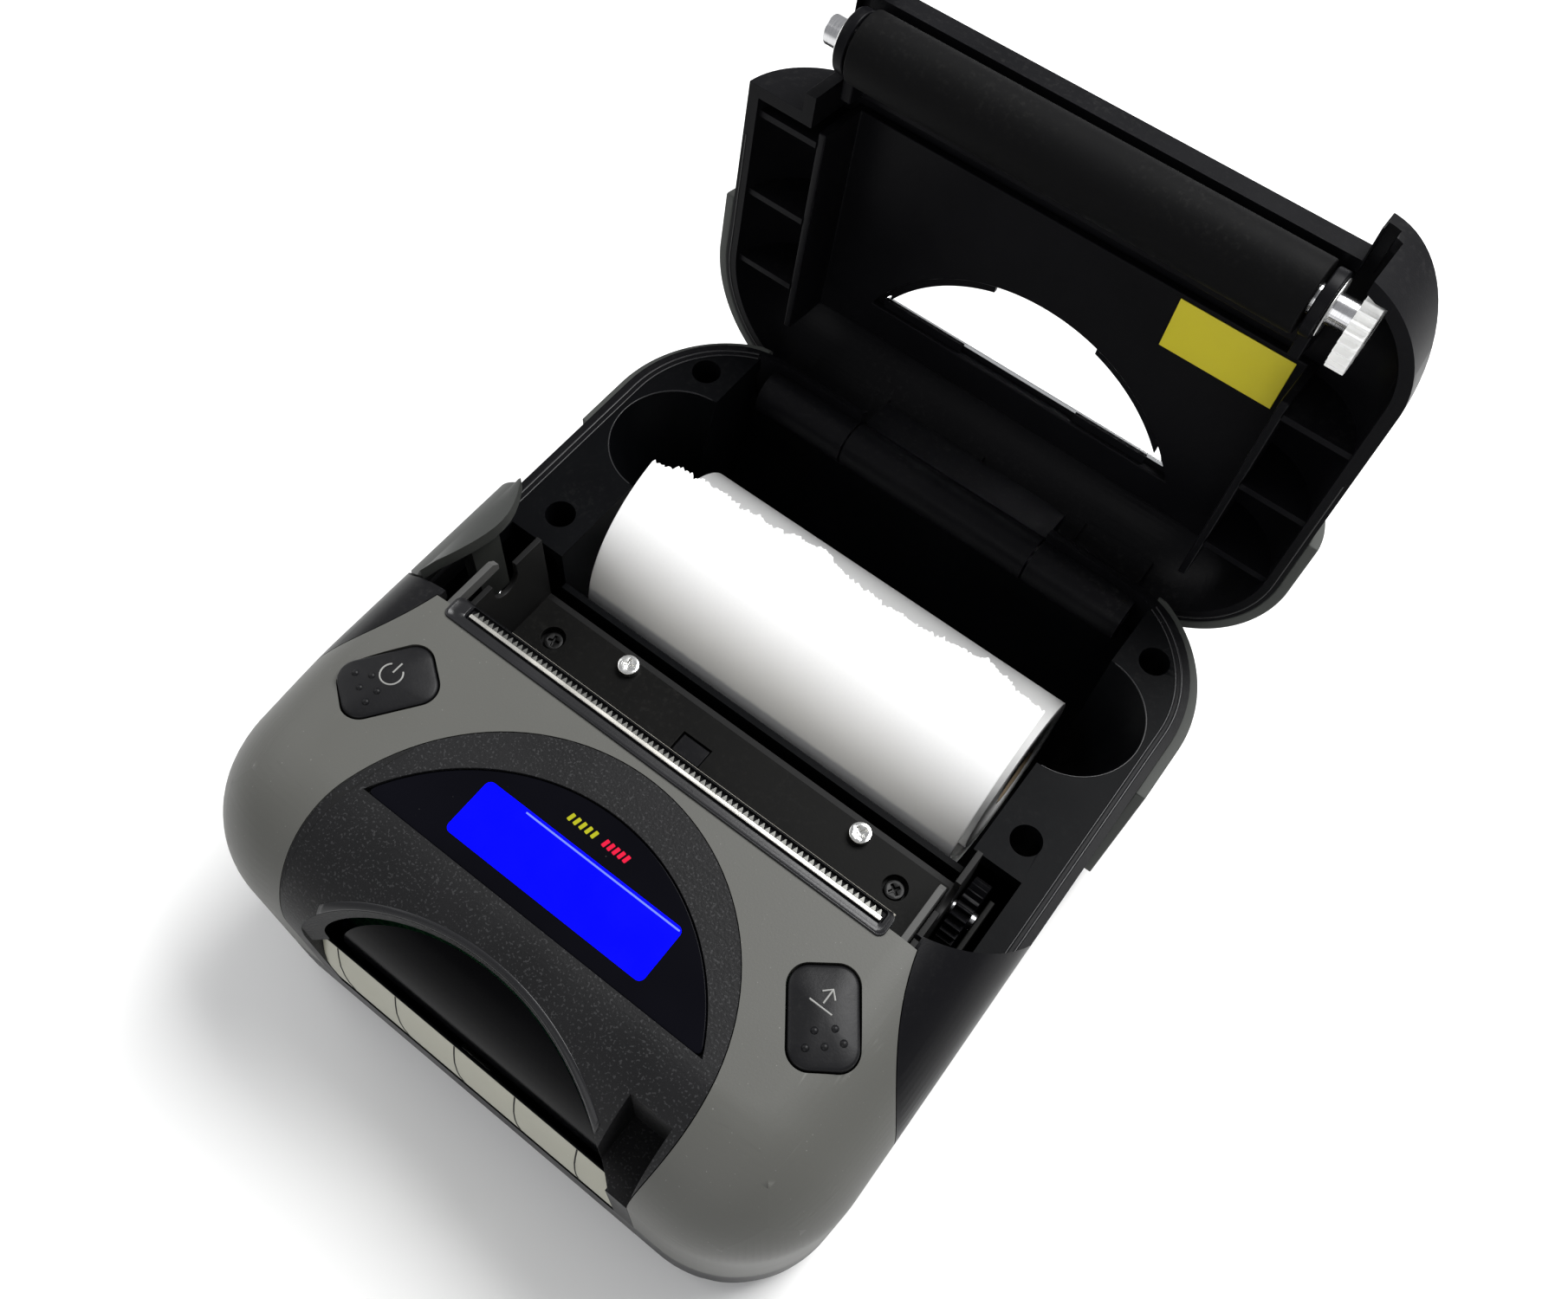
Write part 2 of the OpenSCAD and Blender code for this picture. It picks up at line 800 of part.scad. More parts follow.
module guide_plate() {
    color("#161618") difference() {
        block([left_plate_x + 2, -9.6, guide_z], [right_plate_x - 1, 2.1, guide_z + sheet_t]);
        for (at = plate_screws_at)
            translate([at[0], at[1], guide_z - 1]) cylinder(r = 1.15, h = 4);
        for (at = chassis_posts)
            translate([at[0], at[1], guide_z - 1]) cylinder(r = 2.2, h = 4);
        block([-8, -7, guide_z - 1], [-2, -3, guide_z + 3]);
    }
}

module guide_plate_screws() {
    color("#c8c8c3")
        for (at = plate_screws_at) screw([at[0], at[1], guide_z + sheet_t], 1, 1.9, 3.2);
}

module paper_sensor() {
    color("#0f0f14") block([-7.8, -6.8, deck_z], [-2.2, -3.2, guide_z + 0.6]);
}

// Local frame of the print head: +Y points from the head to the platen's axis.
module in_head_frame() {
    translate([0, platen_y, platen_z]) rotate([head_tilt, 0, 0]) children();
}

module thermal_head() {
    color("#d8d4c8") in_head_frame()
        block([platen_x0, head_face - strip_t, -6], [platen_x1, head_face, 5]);
}

module head_heatsink() {
    color("#9a9a9e") in_head_frame() difference() {
        block([platen_x0, head_face - strip_t - sink_t, -6], [platen_x1, head_face - strip_t, 6]);
        for (z = [-4:2.5:4])
            block([platen_x0 + 4, head_face - strip_t - sink_t - 1, z - 0.5],
                  [spring_xs[0] - 4, head_face - strip_t - sink_t + 2, z + 0.5]);
    }
}

module head_springs() {
    color("#b4b4b8") in_head_frame()
        for (x = spring_xs)
            translate([x, head_back, 1]) rotate([-90, 0, 0]) difference() {
                cylinder(r = 2.5, h = spring_len);
                translate([0, 0, -1]) cylinder(r = 2, h = spring_len + 2);
            }
}

module tear_bar_holder() {
    color("#141416") difference() {
        block([holder_x0, holder_y0, body_h - 3.8], [holder_x1, holder_y1, body_h]);
        block([-tear_half - 0.2, holder_y0 - 1, holder_top_z], [tear_half + 0.2, holder_y1 + 1, big]);
    }
}

module tear_bar() {
    tooth = 0.7;
    front = holder_y0 + 0.5;
    back = front + 1.3;
    count = floor(2 * tear_half / tear_pitch);
    color("#d2d2c8") along_z(holder_top_z, body_h - 0.1)
        polygon(concat(
            [[-tear_half, front], [tear_half, front], [tear_half, back]],
            [for (i = [0:count - 1]) for (p = [[0.5, tooth], [1, 0]])
                [tear_half - (i + p[0]) * 2 * tear_half / count, back + p[1]]]));
}

module drive_motor() {
    color("#6e6e72") difference() {
        union() {
            bar_x(pinion_at, motor_r, right_plate_x - motor_len, right_plate_x);
            bar_x(pinion_at, 2.9, right_plate_x - eps, right_plate_x + sheet_t);
        }
        bar_x(pinion_at, motor_shaft_r + turn_gap, right_plate_x - 14, right_plate_x + 2);
    }
}

module motor_pinion() {
    color("#c8a050") {
        gear(pinion_at, pinion_teeth, pinion_phase, motor_shaft_r);
        bar_x(pinion_at, motor_shaft_r, right_plate_x - 12, gear_x + gear_w + 0.4);
    }
}

module idler_gear_upper() {
    color("#e6e6e1") gear(upper_at, idler_teeth, upper_phase, idler_axle_r + turn_gap);
}

module idler_gear_lower() {
    color("#e6e6e1") gear(lower_at, idler_teeth, lower_phase, idler_axle_r + turn_gap);
}

module idler_axles() {
    color("#c8c8cc")
        for (at = [upper_at, lower_at])
            bar_x(at, idler_axle_r, right_plate_x, gear_x + gear_w + 0.9);
}

module gear_guard() {
    x = gear_x + gear_w + 0.9;
    color("#b4b4b8") along_x(x, x + sheet_t) difference() {
        translate([lower_at[0] - 6, lower_at[1] - 4]) square([15, upper_at[1] - lower_at[1] + 9]);
        translate(lower_at) circle(2.4, $fn = 6);
    }
}

// ---------- electronics ----------

module main_board() {
    color("#1e5a32") difference() {
        block([-board_half, -59.5, board_z], [board_half, -25.5, board_z + board_t]);
        for (at = board_posts)
            translate([at[0], at[1], board_z - 1]) cylinder(r = screw_r + 0.1, h = 4);
    }
}

module board_screws() {
    color("#8c8c90")
        for (at = board_posts) screw([at[0], at[1], board_z + board_t], screw_r, 2.3, 8);
}

module battery_pack() {
    color("#2d3250") along_x(-battery_x, battery_x)
        corner_rect([battery_y0, wall + 0.1], [battery_y1, battery_top_z], [1.5, 1.5, 4, 4]);
}

module port_opening() {
    block([-half_w - 1, port_y[0], port_z - port_h / 2],
          [-half_w + wall + 1, port_y[1], port_z + port_h / 2]);
}

module data_port() {
    color("#b4b4b8") difference() {
        block([-half_w + wall, port_y[1] - 7.2, port_z - 2.2],
              [-half_w + 9, port_y[1] - 0.8, port_z + 2.2]);
        block([-half_w + 1, port_y[1] - 6.6, port_z - 1.6],
              [-half_w + 7, port_y[1] - 1.4, port_z + 1.6]);
    }
}

module charging_socket() {
    color("#141416") difference() {
        block([-half_w + wall, port_y[0], port_z - 3.2],
              [-half_w + 9, port_y[0] + 6.4, port_z + 3.2]);
        bar_x([port_y[0] + 3.2, port_z], 1.9, -half_w + 1, -half_w + 8);
    }
}

module port_cover() {
    color("#2a2a2c") difference() {
        block([-half_w, port_y[0], port_z - port_h / 2],
              [-half_w + wall, port_y[1], port_z + port_h / 2]);
        block([-half_w - 1, port_y[1] - 2, port_z - 1],
              [-half_w + 0.6, port_y[1] - 1.2, port_z + 1]);
    }
}

// ---------- paper and hinge ----------

module hinge_pin() {
    color("#c8c8cc") bar_x([hinge_y, hinge_z], hinge_pin_r, -hinge_half, hinge_half);
}

module paper_roll() {
    color("#f2f2ee") difference() {
        bar_x([bucket_y, roll_z], roll_r, -paper_w / 2, paper_w / 2);
        bar_x([bucket_y, roll_z], core_r, -paper_w, paper_w);
    }
}

module paper_core() {
    color("#b49a78") difference() {
        bar_x([bucket_y, roll_z], core_r, -paper_w / 2, paper_w / 2);
        bar_x([bucket_y, roll_z], core_r - 1.5, -paper_w, paper_w);
    }
}

// ---------- lid ----------

module lid_shell() {
    color("#17171a") on_lid() {
        difference() {
            intersection() {
                body_form();
                along_z(lid_z, big) lid_plan();
            }
            intersection() {
                body_form(wall);
                along_z(0, big) lid_plan(wall);
            }
            // mechanism bay under the lip, and room for the platen gear
            block([-50, -big / 2, 0],
                  [right_plate_x + sheet_t + 0.4, platen_y + plate_rear + 0.5,
                   platen_z + platen_r + 0.7]);
            bar_x(platen_at, pitch_r(platen_teeth) + 1, gear_x - 0.5, gear_x + gear_w + 0.5);
            // room for the hooks as they swing forward
            for (x = latch_xs)
                block([x - 0.5, -big / 2, 0],
                      [x + latch_hook_t + 0.5, platen_y + plate_rear + 0.5, body_h - 2.6]);
            along_z(0, big) half_moon_window();
        }
        // ribs in the side pockets
        intersection() {
            body_form(wall - 0.2);
            for (side = [-1, 1], y = [13.5, 29.5, 44.5])
                block([side < 0 ? -half_w : bucket_half + 1.5, y - 0.6, lid_z + 1],
                      [side < 0 ? -bucket_half - 1.5 : half_w, y + 0.6, big]);
        }
        // middle knuckle and its arms
        difference() {
            union() {
                bar_x([hinge_y, hinge_z], knuckle_r, -knuckle_half, knuckle_half);
                block([-knuckle_half, hinge_y - arm_t, hinge_z],
                      [knuckle_half, hinge_y + arm_t, lid_z + 4]);
            }
            bar_x([hinge_y, hinge_z], hinge_pin_r + turn_gap, -knuckle_half - 1, knuckle_half + 1);
        }
    }
}

// Half-moon window: the arc faces the front, the straight edge the hinge.
module half_moon_window(inset = 0) {
    intersection() {
        translate([0, lid_window_y + 17.8]) circle(moon_r - inset);
        translate([-big / 2, -big + lid_window_y - inset]) square(big);
    }
}

module lid_inner_panel() {
    top = body_h - wall;
    x = bucket_half + 1.5;
    color("#1b1b1f") on_lid() intersection() {
        body_form(wall);
        difference() {
            union() {
                block([-x, 11, top - 1.8], [x, 54, top]);
                for (side = [-1, 1])
                    translate([side * (x - 0.75), 0, 0])
                        block([-0.75, 11, lid_z + 1.2], [0.75, 54, top]);
            }
            along_z(0, big) half_moon_window(-1);
        }
    }
}

module lid_window() {
    color("#d8e6f0", 0.3) on_lid() along_z(body_h - wall, body_h - 0.2) half_moon_window();
}

module lid_bumper(side) {
    color("#6d6d68") on_lid() corner_bumper(side, lid_z, lid_z + 9);
}

module blank_label() {
    color("#d2c832") on_lid()
        block([bucket_half - 22.4, 11.8, body_h - wall - 2],
              [bucket_half - 1.5, 21.8, body_h - wall - 1.8]);
}

// Side view of a cheek that carries a platen bush.
module cheek_outline() {
    translate(platen_at) circle(5.4);
    translate([lid_lip_y + wall + 0.1, platen_z]) square([13, body_h - wall - platen_z]);
}

module platen_holder() {
    color("#1b1b1f") on_lid() difference() {
        intersection() {
            body_form(wall);
            union() {
                for (x = [platen_x0 - 0.6 - cheek_t, platen_x1 + 0.6])
                    along_x(x, x + cheek_t) cheek_outline();
                block([platen_x0 - 0.6 - cheek_t, 3.5, body_h - wall - 3.5],
                      [platen_x1 + 0.6 + cheek_t, 7.5, body_h - wall]);
            }
        }
        bar_x(platen_at, bush_r, -big / 2, big / 2);
    }
}

module platen_bushes() {
    color("#d2d2d2") on_lid()
        for (side = [-1, 1]) {
            inner = side < 0 ? platen_x0 - 0.6 : platen_x1 + 0.6;
            outer = inner + side * cheek_t;
            difference() {
                union() {
                    bar_x(platen_at, bush_r, min(inner, outer), max(inner, outer));
                    bar_x(platen_at, bush_r + 1, min(outer, outer + side * 0.5),
                          max(outer, outer + side * 0.5));
                }
                bar_x(platen_at, shaft_r + turn_gap, -big / 2, big / 2);
            }
        }
}

module platen_shaft() {
    color("#c8c8cc") on_lid()
        bar_x(platen_at, shaft_r, left_plate_x - 2.2, gear_x + gear_w);
}

module platen_roller() {
    color("#38383b") on_lid() difference() {
        bar_x(platen_at, platen_r, platen_x0, platen_x1);
        bar_x(platen_at, shaft_r, -big / 2, big / 2);
    }
}

module platen_gear() {
    color("#f0f0ec") on_lid() gear(platen_at, platen_teeth, platen_phase, shaft_r);
}

bottom_case();
battery_door();
antislip_pads();
inner_frame();
case_screws();
rear_bumper(-1);  // rear_bumper_left
rear_bumper(1);  // rear_bumper_right
front_cover();
display_bezel();
display_lens();
lcd_module();
indicator_lights();
display_board();
key_switches();
key_button(-1);  // power_button
key_button(1);  // feed_button
card_slot_block();
card_slot_wall();
magnetic_head();
release_button();
release_spring();
latch();
print_chassis();
chassis_screws();
guide_plate();
guide_plate_screws();
paper_sensor();
thermal_head();
head_heatsink();
head_springs();
tear_bar_holder();
tear_bar();
drive_motor();
motor_pinion();
idler_gear_upper();
idler_gear_lower();
idler_axles();
gear_guard();
main_board();
board_screws();
battery_pack();
data_port();
charging_socket();
port_cover();
hinge_pin();
paper_roll();
paper_core();
lid_shell();
lid_inner_panel();
lid_window();
lid_bumper(-1);  // lid_bumper_left
lid_bumper(1);  // lid_bumper_right
blank_label();
platen_holder();
platen_bushes();
platen_shaft();
platen_roller();
platen_gear();
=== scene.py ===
import json
import math

import bmesh
import bpy
import numpy as np
from bpy.props import FloatProperty, FloatVectorProperty, IntProperty, PointerProperty
from mathutils import Matrix, Vector, noise


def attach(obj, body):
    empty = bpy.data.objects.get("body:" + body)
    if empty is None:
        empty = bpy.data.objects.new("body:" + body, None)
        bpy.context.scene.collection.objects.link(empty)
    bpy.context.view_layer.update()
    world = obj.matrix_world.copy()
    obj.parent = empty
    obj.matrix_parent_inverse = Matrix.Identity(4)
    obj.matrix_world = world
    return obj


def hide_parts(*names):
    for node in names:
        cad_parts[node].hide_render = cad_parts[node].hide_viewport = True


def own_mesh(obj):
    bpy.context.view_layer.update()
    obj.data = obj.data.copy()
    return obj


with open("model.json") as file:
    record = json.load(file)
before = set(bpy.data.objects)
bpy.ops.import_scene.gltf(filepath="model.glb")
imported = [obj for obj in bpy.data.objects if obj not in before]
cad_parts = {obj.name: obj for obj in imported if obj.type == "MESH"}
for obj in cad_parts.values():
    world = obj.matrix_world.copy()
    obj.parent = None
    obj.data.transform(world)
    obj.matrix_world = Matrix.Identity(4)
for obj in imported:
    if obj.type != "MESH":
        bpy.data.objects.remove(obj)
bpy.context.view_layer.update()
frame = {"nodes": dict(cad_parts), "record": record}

bl_info = {
    "name": "Receipt Printer Looks",
    "version": (1, 0, 0),
    "blender": (4, 5, 0),
    "location": "3D View > Sidebar > Receipt Printer",
    "description": "Finishes and fine detail of a portable receipt printer around its packed model",
    "category": "Object",
}

MM = 0.001
BODY_OF = {node: body for body, nodes in frame["record"]["behaviour"]["bodies"].items() for node in nodes}

# The case: half width, half length, height, and the radii of its edges, in mm
HALF_W, HALF_LEN, HEIGHT = 58.5, 67.0, 62.0
FRONT_R, REAR_R, SHOULDER_R, BROW_R, FOOT_R = 17.0, 24.0, 16.0, 19.0, 6.0
SOFT_FRONT_R = 20.0
RIM_Z = 46.0
# The lid: its hinge, how far it stands open in degrees, its rim, its wall, and its half-moon window
HINGE = Vector((0.0, 62.5, 39.2))
LID_OPEN = 98.0
LID_Z, LID_WALL = 46.35, 2.2
WINDOW_Y, WINDOW_ARC_Y = 46.3, 64.1
# The display: the bezel's ring, the half-moon lens, and the arc of the card pocket in front
BEZEL_R, BEZEL_Y = 35.3, -56.0
MOON_R, LENS_Y, LENS_EDGE_Y, LENS_FOOT, LENS_TOP = 35.3, -63.3, -47.6, 61.2, 61.7
POCKET_R, POCKET_Y = 45.0, -100.5
# The card reader's bar: half its length, foot and top, and its front face as (y, z)
SLOT_HALF, SLOT_FOOT, SLOT_TOP = 29.5, 18.0, 40.4
BAR_FACE = ((-65.1, SLOT_TOP - 0.35), (-65.75, SLOT_TOP - 3.2), (-66.35, SLOT_TOP - 6.6),
            (-66.75, SLOT_TOP - 11.0), (-66.88, 26.0), (-66.86, 20.5))
# The paper: half its width, the loose leaf's axis, and the wound roll lying below it
PAPER_HALF, ROLL_Y, ROLL_Z = 39.75, 33.65, 29.5
INNER_ROLL_R, INNER_ROLL_Z = 16.0, 20.2
CORE_HALF, CORE_R, CORE_BORE = 39.6, 6.5, 5.2
BUCKET_HALF, SCOOP_R, SCOOP_Y = 42.9, 12.0, 37.5
# The keys: their places and turn, half sizes of the flat, and the height where the crown starts
KEY_X, KEY_Y, KEY_TURN = 41.0, -33.0, 36.0
KEY_FLAT, KEY_SHOULDER_Z = (4.5, 6.75), 62.1
SYMBOL_WIDTH = 0.30


# ---------- sizes and colours a user may change ----------

def colour(label, note, default):
    return FloatVectorProperty(name=label, description=note, subtype="COLOR", size=3,
                               default=default, min=0, max=1)


def length(label, note, default, low, high):
    return FloatProperty(name=label, description=note, subtype="DISTANCE", unit="LENGTH",
                         default=default, min=low, max=high)


class CasingLooks(bpy.types.PropertyGroup):
    cover_colour: colour("Cover colour", "Paint of the front cover", (0.077, 0.077, 0.070))
    bumper_colour: colour("Bumper colour", "Rubber of the corner bumpers", (0.050, 0.053, 0.049))
    case_colour: colour("Case colour", "Moulded black of the case and lid", (0.0042, 0.0042, 0.0050))
    edge_round: length("Edge rounding", "Radius broken onto every moulded edge", 0.0003, 0.0001, 0.0005)


class DisplayLooks(bpy.types.PropertyGroup):
    screen_colour: colour("Screen colour", "Colour of the lit screen", (0.0006, 0.001, 1.0))
    screen_glow: FloatProperty(name="Screen glow", description="How strongly the screen shines",
                               default=0.62, min=0, max=5)
    screen_width: length("Screen width", "Width of the lit screen", 0.0366, 0.02, 0.045)
    key_crown: length("Key crown", "How far the middle of a key bulges", 0.0006, 0, 0.001)


class PaperLooks(bpy.types.PropertyGroup):
    leaf_end: FloatProperty(name="Loose end",
                            description="Where the loose leaf ends, from the rear over the top",
                            subtype="ANGLE", unit="ROTATION", default=math.radians(98.5),
                            min=math.radians(60), max=math.radians(170))
    leaf_radius: length("Leaf radius", "Radius of the loose outer leaf", 0.0254, 0.02, 0.02545)
    tear_depth: length("Tear depth", "How ragged the torn edge is", 0.0011, 0, 0.004)
    seed: IntProperty(name="Tear seed", description="Shape of the torn edge", default=7, min=0, max=100)


class MechanismLooks(bpy.types.PropertyGroup):
    tooth_pitch: length("Tooth pitch", "Distance between teeth of the tear bar", 0.001, 0.0008, 0.002)
    spring_wire: length("Spring wire", "Diameter of the spring wire", 0.0005, 0.0003, 0.0008)
    spring_turns: IntProperty(name="Spring turns", description="Turns of the release spring",
                              default=9, min=4, max=14)


# ---------- nodes ----------

def fill(tree, node, inputs):
    """Gives a node's inputs their values, or links another node's output to them."""
    for label, value in inputs.items():
        if isinstance(value, bpy.types.NodeSocket):
            tree.links.new(value, node.inputs[label])
        else:
            node.inputs[label].default_value = value


def add_node(tree, kind, inputs=None, **settings):
    node = tree.nodes.new(kind)
    for label, value in settings.items():
        setattr(node, label, value)
    fill(tree, node, inputs or {})
    return node


def noise_node(tree, place, scale, detail, rough):
    return add_node(tree, "ShaderNodeTexNoise", {"Vector": place, "Scale": scale, "Detail": detail,
                                                 "Roughness": rough}).outputs["Fac"]


def remap(tree, value, low, high, to_low=0.0, to_high=1.0):
    return add_node(tree, "ShaderNodeMapRange", {"Value": value, "From Min": low, "From Max": high,
                                                 "To Min": to_low, "To Max": to_high}).outputs["Result"]


def math_node(tree, kind, first, second=0.0):
    return add_node(tree, "ShaderNodeMath", {0: first, 1: second}, operation=kind).outputs[0]


def mix_colour(tree, mask, first, second):
    return add_node(tree, "ShaderNodeMix", {0: mask, 6: first, 7: second}, data_type="RGBA").outputs[2]


def object_place(tree):
    return add_node(tree, "ShaderNodeTexCoord").outputs["Object"]


def normal_part(tree, axis):
    """One part of the face's direction."""
    geometry = add_node(tree, "ShaderNodeNewGeometry")
    return add_node(tree, "ShaderNodeSeparateXYZ", {0: geometry.outputs["Normal"]}).outputs[axis]


def bump_normal(tree, height, depth):
    return add_node(tree, "ShaderNodeBump", {"Distance": depth, "Height": height}).outputs["Normal"]


# ---------- shader node groups ----------

def build_moulded_grain(tree, given):
    """Fine spark-eroded or painted grain with slow patches in it."""
    place = object_place(tree)
    grain = noise_node(tree, place, given["Scale"], 2.0, 0.6)
    patch = noise_node(tree, place, given["Patch Scale"], 3.0, 0.5)
    return {"Patch": remap(tree, patch, 0.3, 0.7), "Grain": remap(tree, grain, 0.3, 0.7),
            "Normal": bump_normal(tree, grain, given["Depth"])}


def build_speckle(tree, given):
    """Small scattered specks, as in a textured moulding or recycled rubber."""
    spots = noise_node(tree, object_place(tree), given["Scale"], 1.0, 0.5)
    over = math_node(tree, "SUBTRACT", spots, given["Threshold"])
    return {"Mask": remap(tree, over, 0.0, 0.05)}


def build_dust(tree, given):
    """A little dust that lies on faces turned upwards."""
    place = object_place(tree)
    up = remap(tree, normal_part(tree, "Z"), 0.35, 0.95)
    motes = remap(tree, noise_node(tree, place, given["Scale"], 4.0, 0.7), 0.52, 0.75)
    drift = remap(tree, noise_node(tree, place, 45.0, 2.0, 0.5), 0.35, 0.7)
    mask = math_node(tree, "MULTIPLY", math_node(tree, "MULTIPLY", up, motes), drift)
    return {"Mask": math_node(tree, "MULTIPLY", mask, given["Amount"])}


def build_drawn_lines(tree, given):
    """Fine parallel lines of drawn, rolled or ground metal."""
    scaled = add_node(tree, "ShaderNodeVectorMath", {0: object_place(tree), 1: given["Spread"]},
                      operation="MULTIPLY")
    lines = noise_node(tree, scaled.outputs[0], 1.0, 3.0, 0.6)
    return {"Lines": remap(tree, lines, 0.3, 0.7), "Normal": bump_normal(tree, lines, given["Depth"])}


# Each group: its builder, its inputs with their usual values, and its outputs
GROUP_KINDS = {
    "Moulded Grain": (build_moulded_grain, {"Scale": 2500.0, "Depth": 0.00002, "Patch Scale": 60.0},
                      ("Patch", "Grain", "Normal")),
    "Speckle": (build_speckle, {"Scale": 1800.0, "Threshold": 0.66}, ("Mask",)),
    "Settled Dust": (build_dust, {"Scale": 900.0, "Amount": 0.15}, ("Mask",)),
    "Drawn Lines": (build_drawn_lines, {"Spread": (60.0, 4000.0, 4000.0), "Depth": 0.00001},
                    ("Lines", "Normal")),
}
VECTOR_SOCKETS = ("Spread", "Normal")
GROUPS = {}


def new_group(name):
    builder, inputs, outputs = GROUP_KINDS[name]
    tree = bpy.data.node_groups.new(name, "ShaderNodeTree")
    for side, labels in (("INPUT", inputs), ("OUTPUT", outputs)):
        for label in labels:
            kind = "NodeSocketVector" if label in VECTOR_SOCKETS else "NodeSocketFloat"
            socket = tree.interface.new_socket(name=label, in_out=side, socket_type=kind)
            if side == "INPUT":
                socket.default_value = inputs[label]
    start, end = add_node(tree, "NodeGroupInput"), add_node(tree, "NodeGroupOutput")
    fill(tree, end, builder(tree, start.outputs))
    return tree


def group_node(tree, name, **values):
    """One of the shared groups, placed in a material with this material's own values."""
    if name not in GROUPS:
        GROUPS[name] = new_group(name)
    node = add_node(tree, "ShaderNodeGroup", node_tree=GROUPS[name])
    fill(tree, node, {label.replace("_", " "): value for label, value in values.items()})
    return node.outputs


def tint(shade, factor):
    return tuple(min(1.0, c * factor) for c in shade[:3]) + (1.0,)


def principled(name):
    material = bpy.data.materials.new(name)
    material.use_nodes = True
    return material, material.node_tree, material.node_tree.nodes["Principled BSDF"]


# ---------- finishes ----------

def moulded(name, shade, rough, grain, depth, patch, vary, rough_vary=0.05, specks=None, dust=0.0,
            coat=0.0, specular=0.5):
    """Moulded plastic, rubber or paint: slow patches, fine grain, and specks or dust where asked."""
    material, tree, shader = principled(name)
    grained = group_node(tree, "Moulded Grain", Scale=grain, Depth=depth, Patch_Scale=patch)
    base = mix_colour(tree, grained["Patch"], tint(shade, 1 - vary), tint(shade, 1 + vary))
    if specks:
        speck_scale, threshold, speck_shade = specks
        spots = group_node(tree, "Speckle", Scale=speck_scale, Threshold=threshold)
        base = mix_colour(tree, spots["Mask"], base, tint(speck_shade, 1.0))
    if dust:
        motes = group_node(tree, "Settled Dust", Amount=dust)
        base = mix_colour(tree, motes["Mask"], base, (0.42, 0.41, 0.38, 1.0))
    roughness = remap(tree, grained["Patch"], 0.0, 1.0, rough - rough_vary, rough + rough_vary)
    fill(tree, shader, {"Base Color": base, "Roughness": roughness, "Normal": grained["Normal"],
                        "Specular IOR Level": specular, "Coat Weight": coat, "Coat Roughness": 0.08})
    return material


def metal(name, shade, rough, spread=(60.0, 4000.0, 4000.0), depth=0.000008, vary=0.10):
    """Bare or plated metal with drawn lines."""
    material, tree, shader = principled(name)
    drawn = group_node(tree, "Drawn Lines", Spread=spread, Depth=depth)
    grained = group_node(tree, "Moulded Grain", Scale=1500.0, Depth=0.000005, Patch_Scale=120.0)
    base = mix_colour(tree, drawn["Lines"], tint(shade, 1 - vary), tint(shade, 1 + vary))
    base = mix_colour(tree, remap(tree, grained["Patch"], 0.0, 1.0, 0.0, 0.25), base, tint(shade, 0.6))
    fill(tree, shader, {"Base Color": base, "Normal": drawn["Normal"], "Metallic": 1.0,
                        "Roughness": remap(tree, grained["Patch"], 0.0, 1.0, rough - 0.06, rough + 0.08)})
    return material


def coiled_paper(name, painted_shade_factor=1.0):
    """Paper with faint fibres, and the fine rings of a wound roll on its ends; a factor below 1 darkens it
    all as painted shade.
    """
    material, tree, shader = principled(name)
    fibres = group_node(tree, "Moulded Grain", Scale=1400.0, Depth=0.00001, Patch_Scale=35.0)
    centred = add_node(tree, "ShaderNodeMapping", vector_type="POINT", inputs={
        "Vector": object_place(tree), "Location": (0.0, -ROLL_Y * MM, -INNER_ROLL_Z * MM),
        "Scale": (0.0, 1.0, 1.0)})
    reach = add_node(tree, "ShaderNodeVectorMath", {0: centred.outputs["Vector"]}, operation="LENGTH")
    wave = math_node(tree, "SINE", math_node(tree, "MULTIPLY", reach.outputs["Value"], 9000.0))
    end_face = remap(tree, math_node(tree, "ABSOLUTE", normal_part(tree, "X")), 0.8, 0.95)
    shade = math_node(tree, "MULTIPLY", remap(tree, wave, -1.0, 1.0), end_face)
    base = mix_colour(tree, fibres["Patch"], tint((0.93, 0.93, 0.92), painted_shade_factor),
                      tint((0.96, 0.96, 0.955), painted_shade_factor))
    base = mix_colour(tree, remap(tree, shade, 0.0, 1.0, 0.0, 0.4), base, (0.55, 0.54, 0.51, 1.0))
    fill(tree, shader, {"Base Color": base, "Normal": fibres["Normal"], "Subsurface Weight": 0.08,
                        "Roughness": remap(tree, fibres["Grain"], 0.0, 1.0, 0.55, 0.72),
                        "Subsurface Radius": (0.001, 0.001, 0.001)})
    return material


def lit_screen(name, shade, glow):
    """The lit screen: even colour with a faint mottling of its cells."""
    material, tree, shader = principled(name)
    cells = group_node(tree, "Moulded Grain", Scale=1800.0, Depth=0.000004, Patch_Scale=160.0)
    base = mix_colour(tree, cells["Patch"], tint(shade, 0.88), tint(shade, 1.0))
    base = mix_colour(tree, remap(tree, cells["Grain"], 0.0, 1.0, 0.0, 0.12), base, tint(shade, 0.7))
    fill(tree, shader, {"Base Color": base, "Emission Color": base, "Emission Strength": glow,
                        "Roughness": remap(tree, cells["Patch"], 0.0, 1.0, 0.25, 0.32),
                        "Normal": cells["Normal"], "Specular IOR Level": 0.03})
    return material


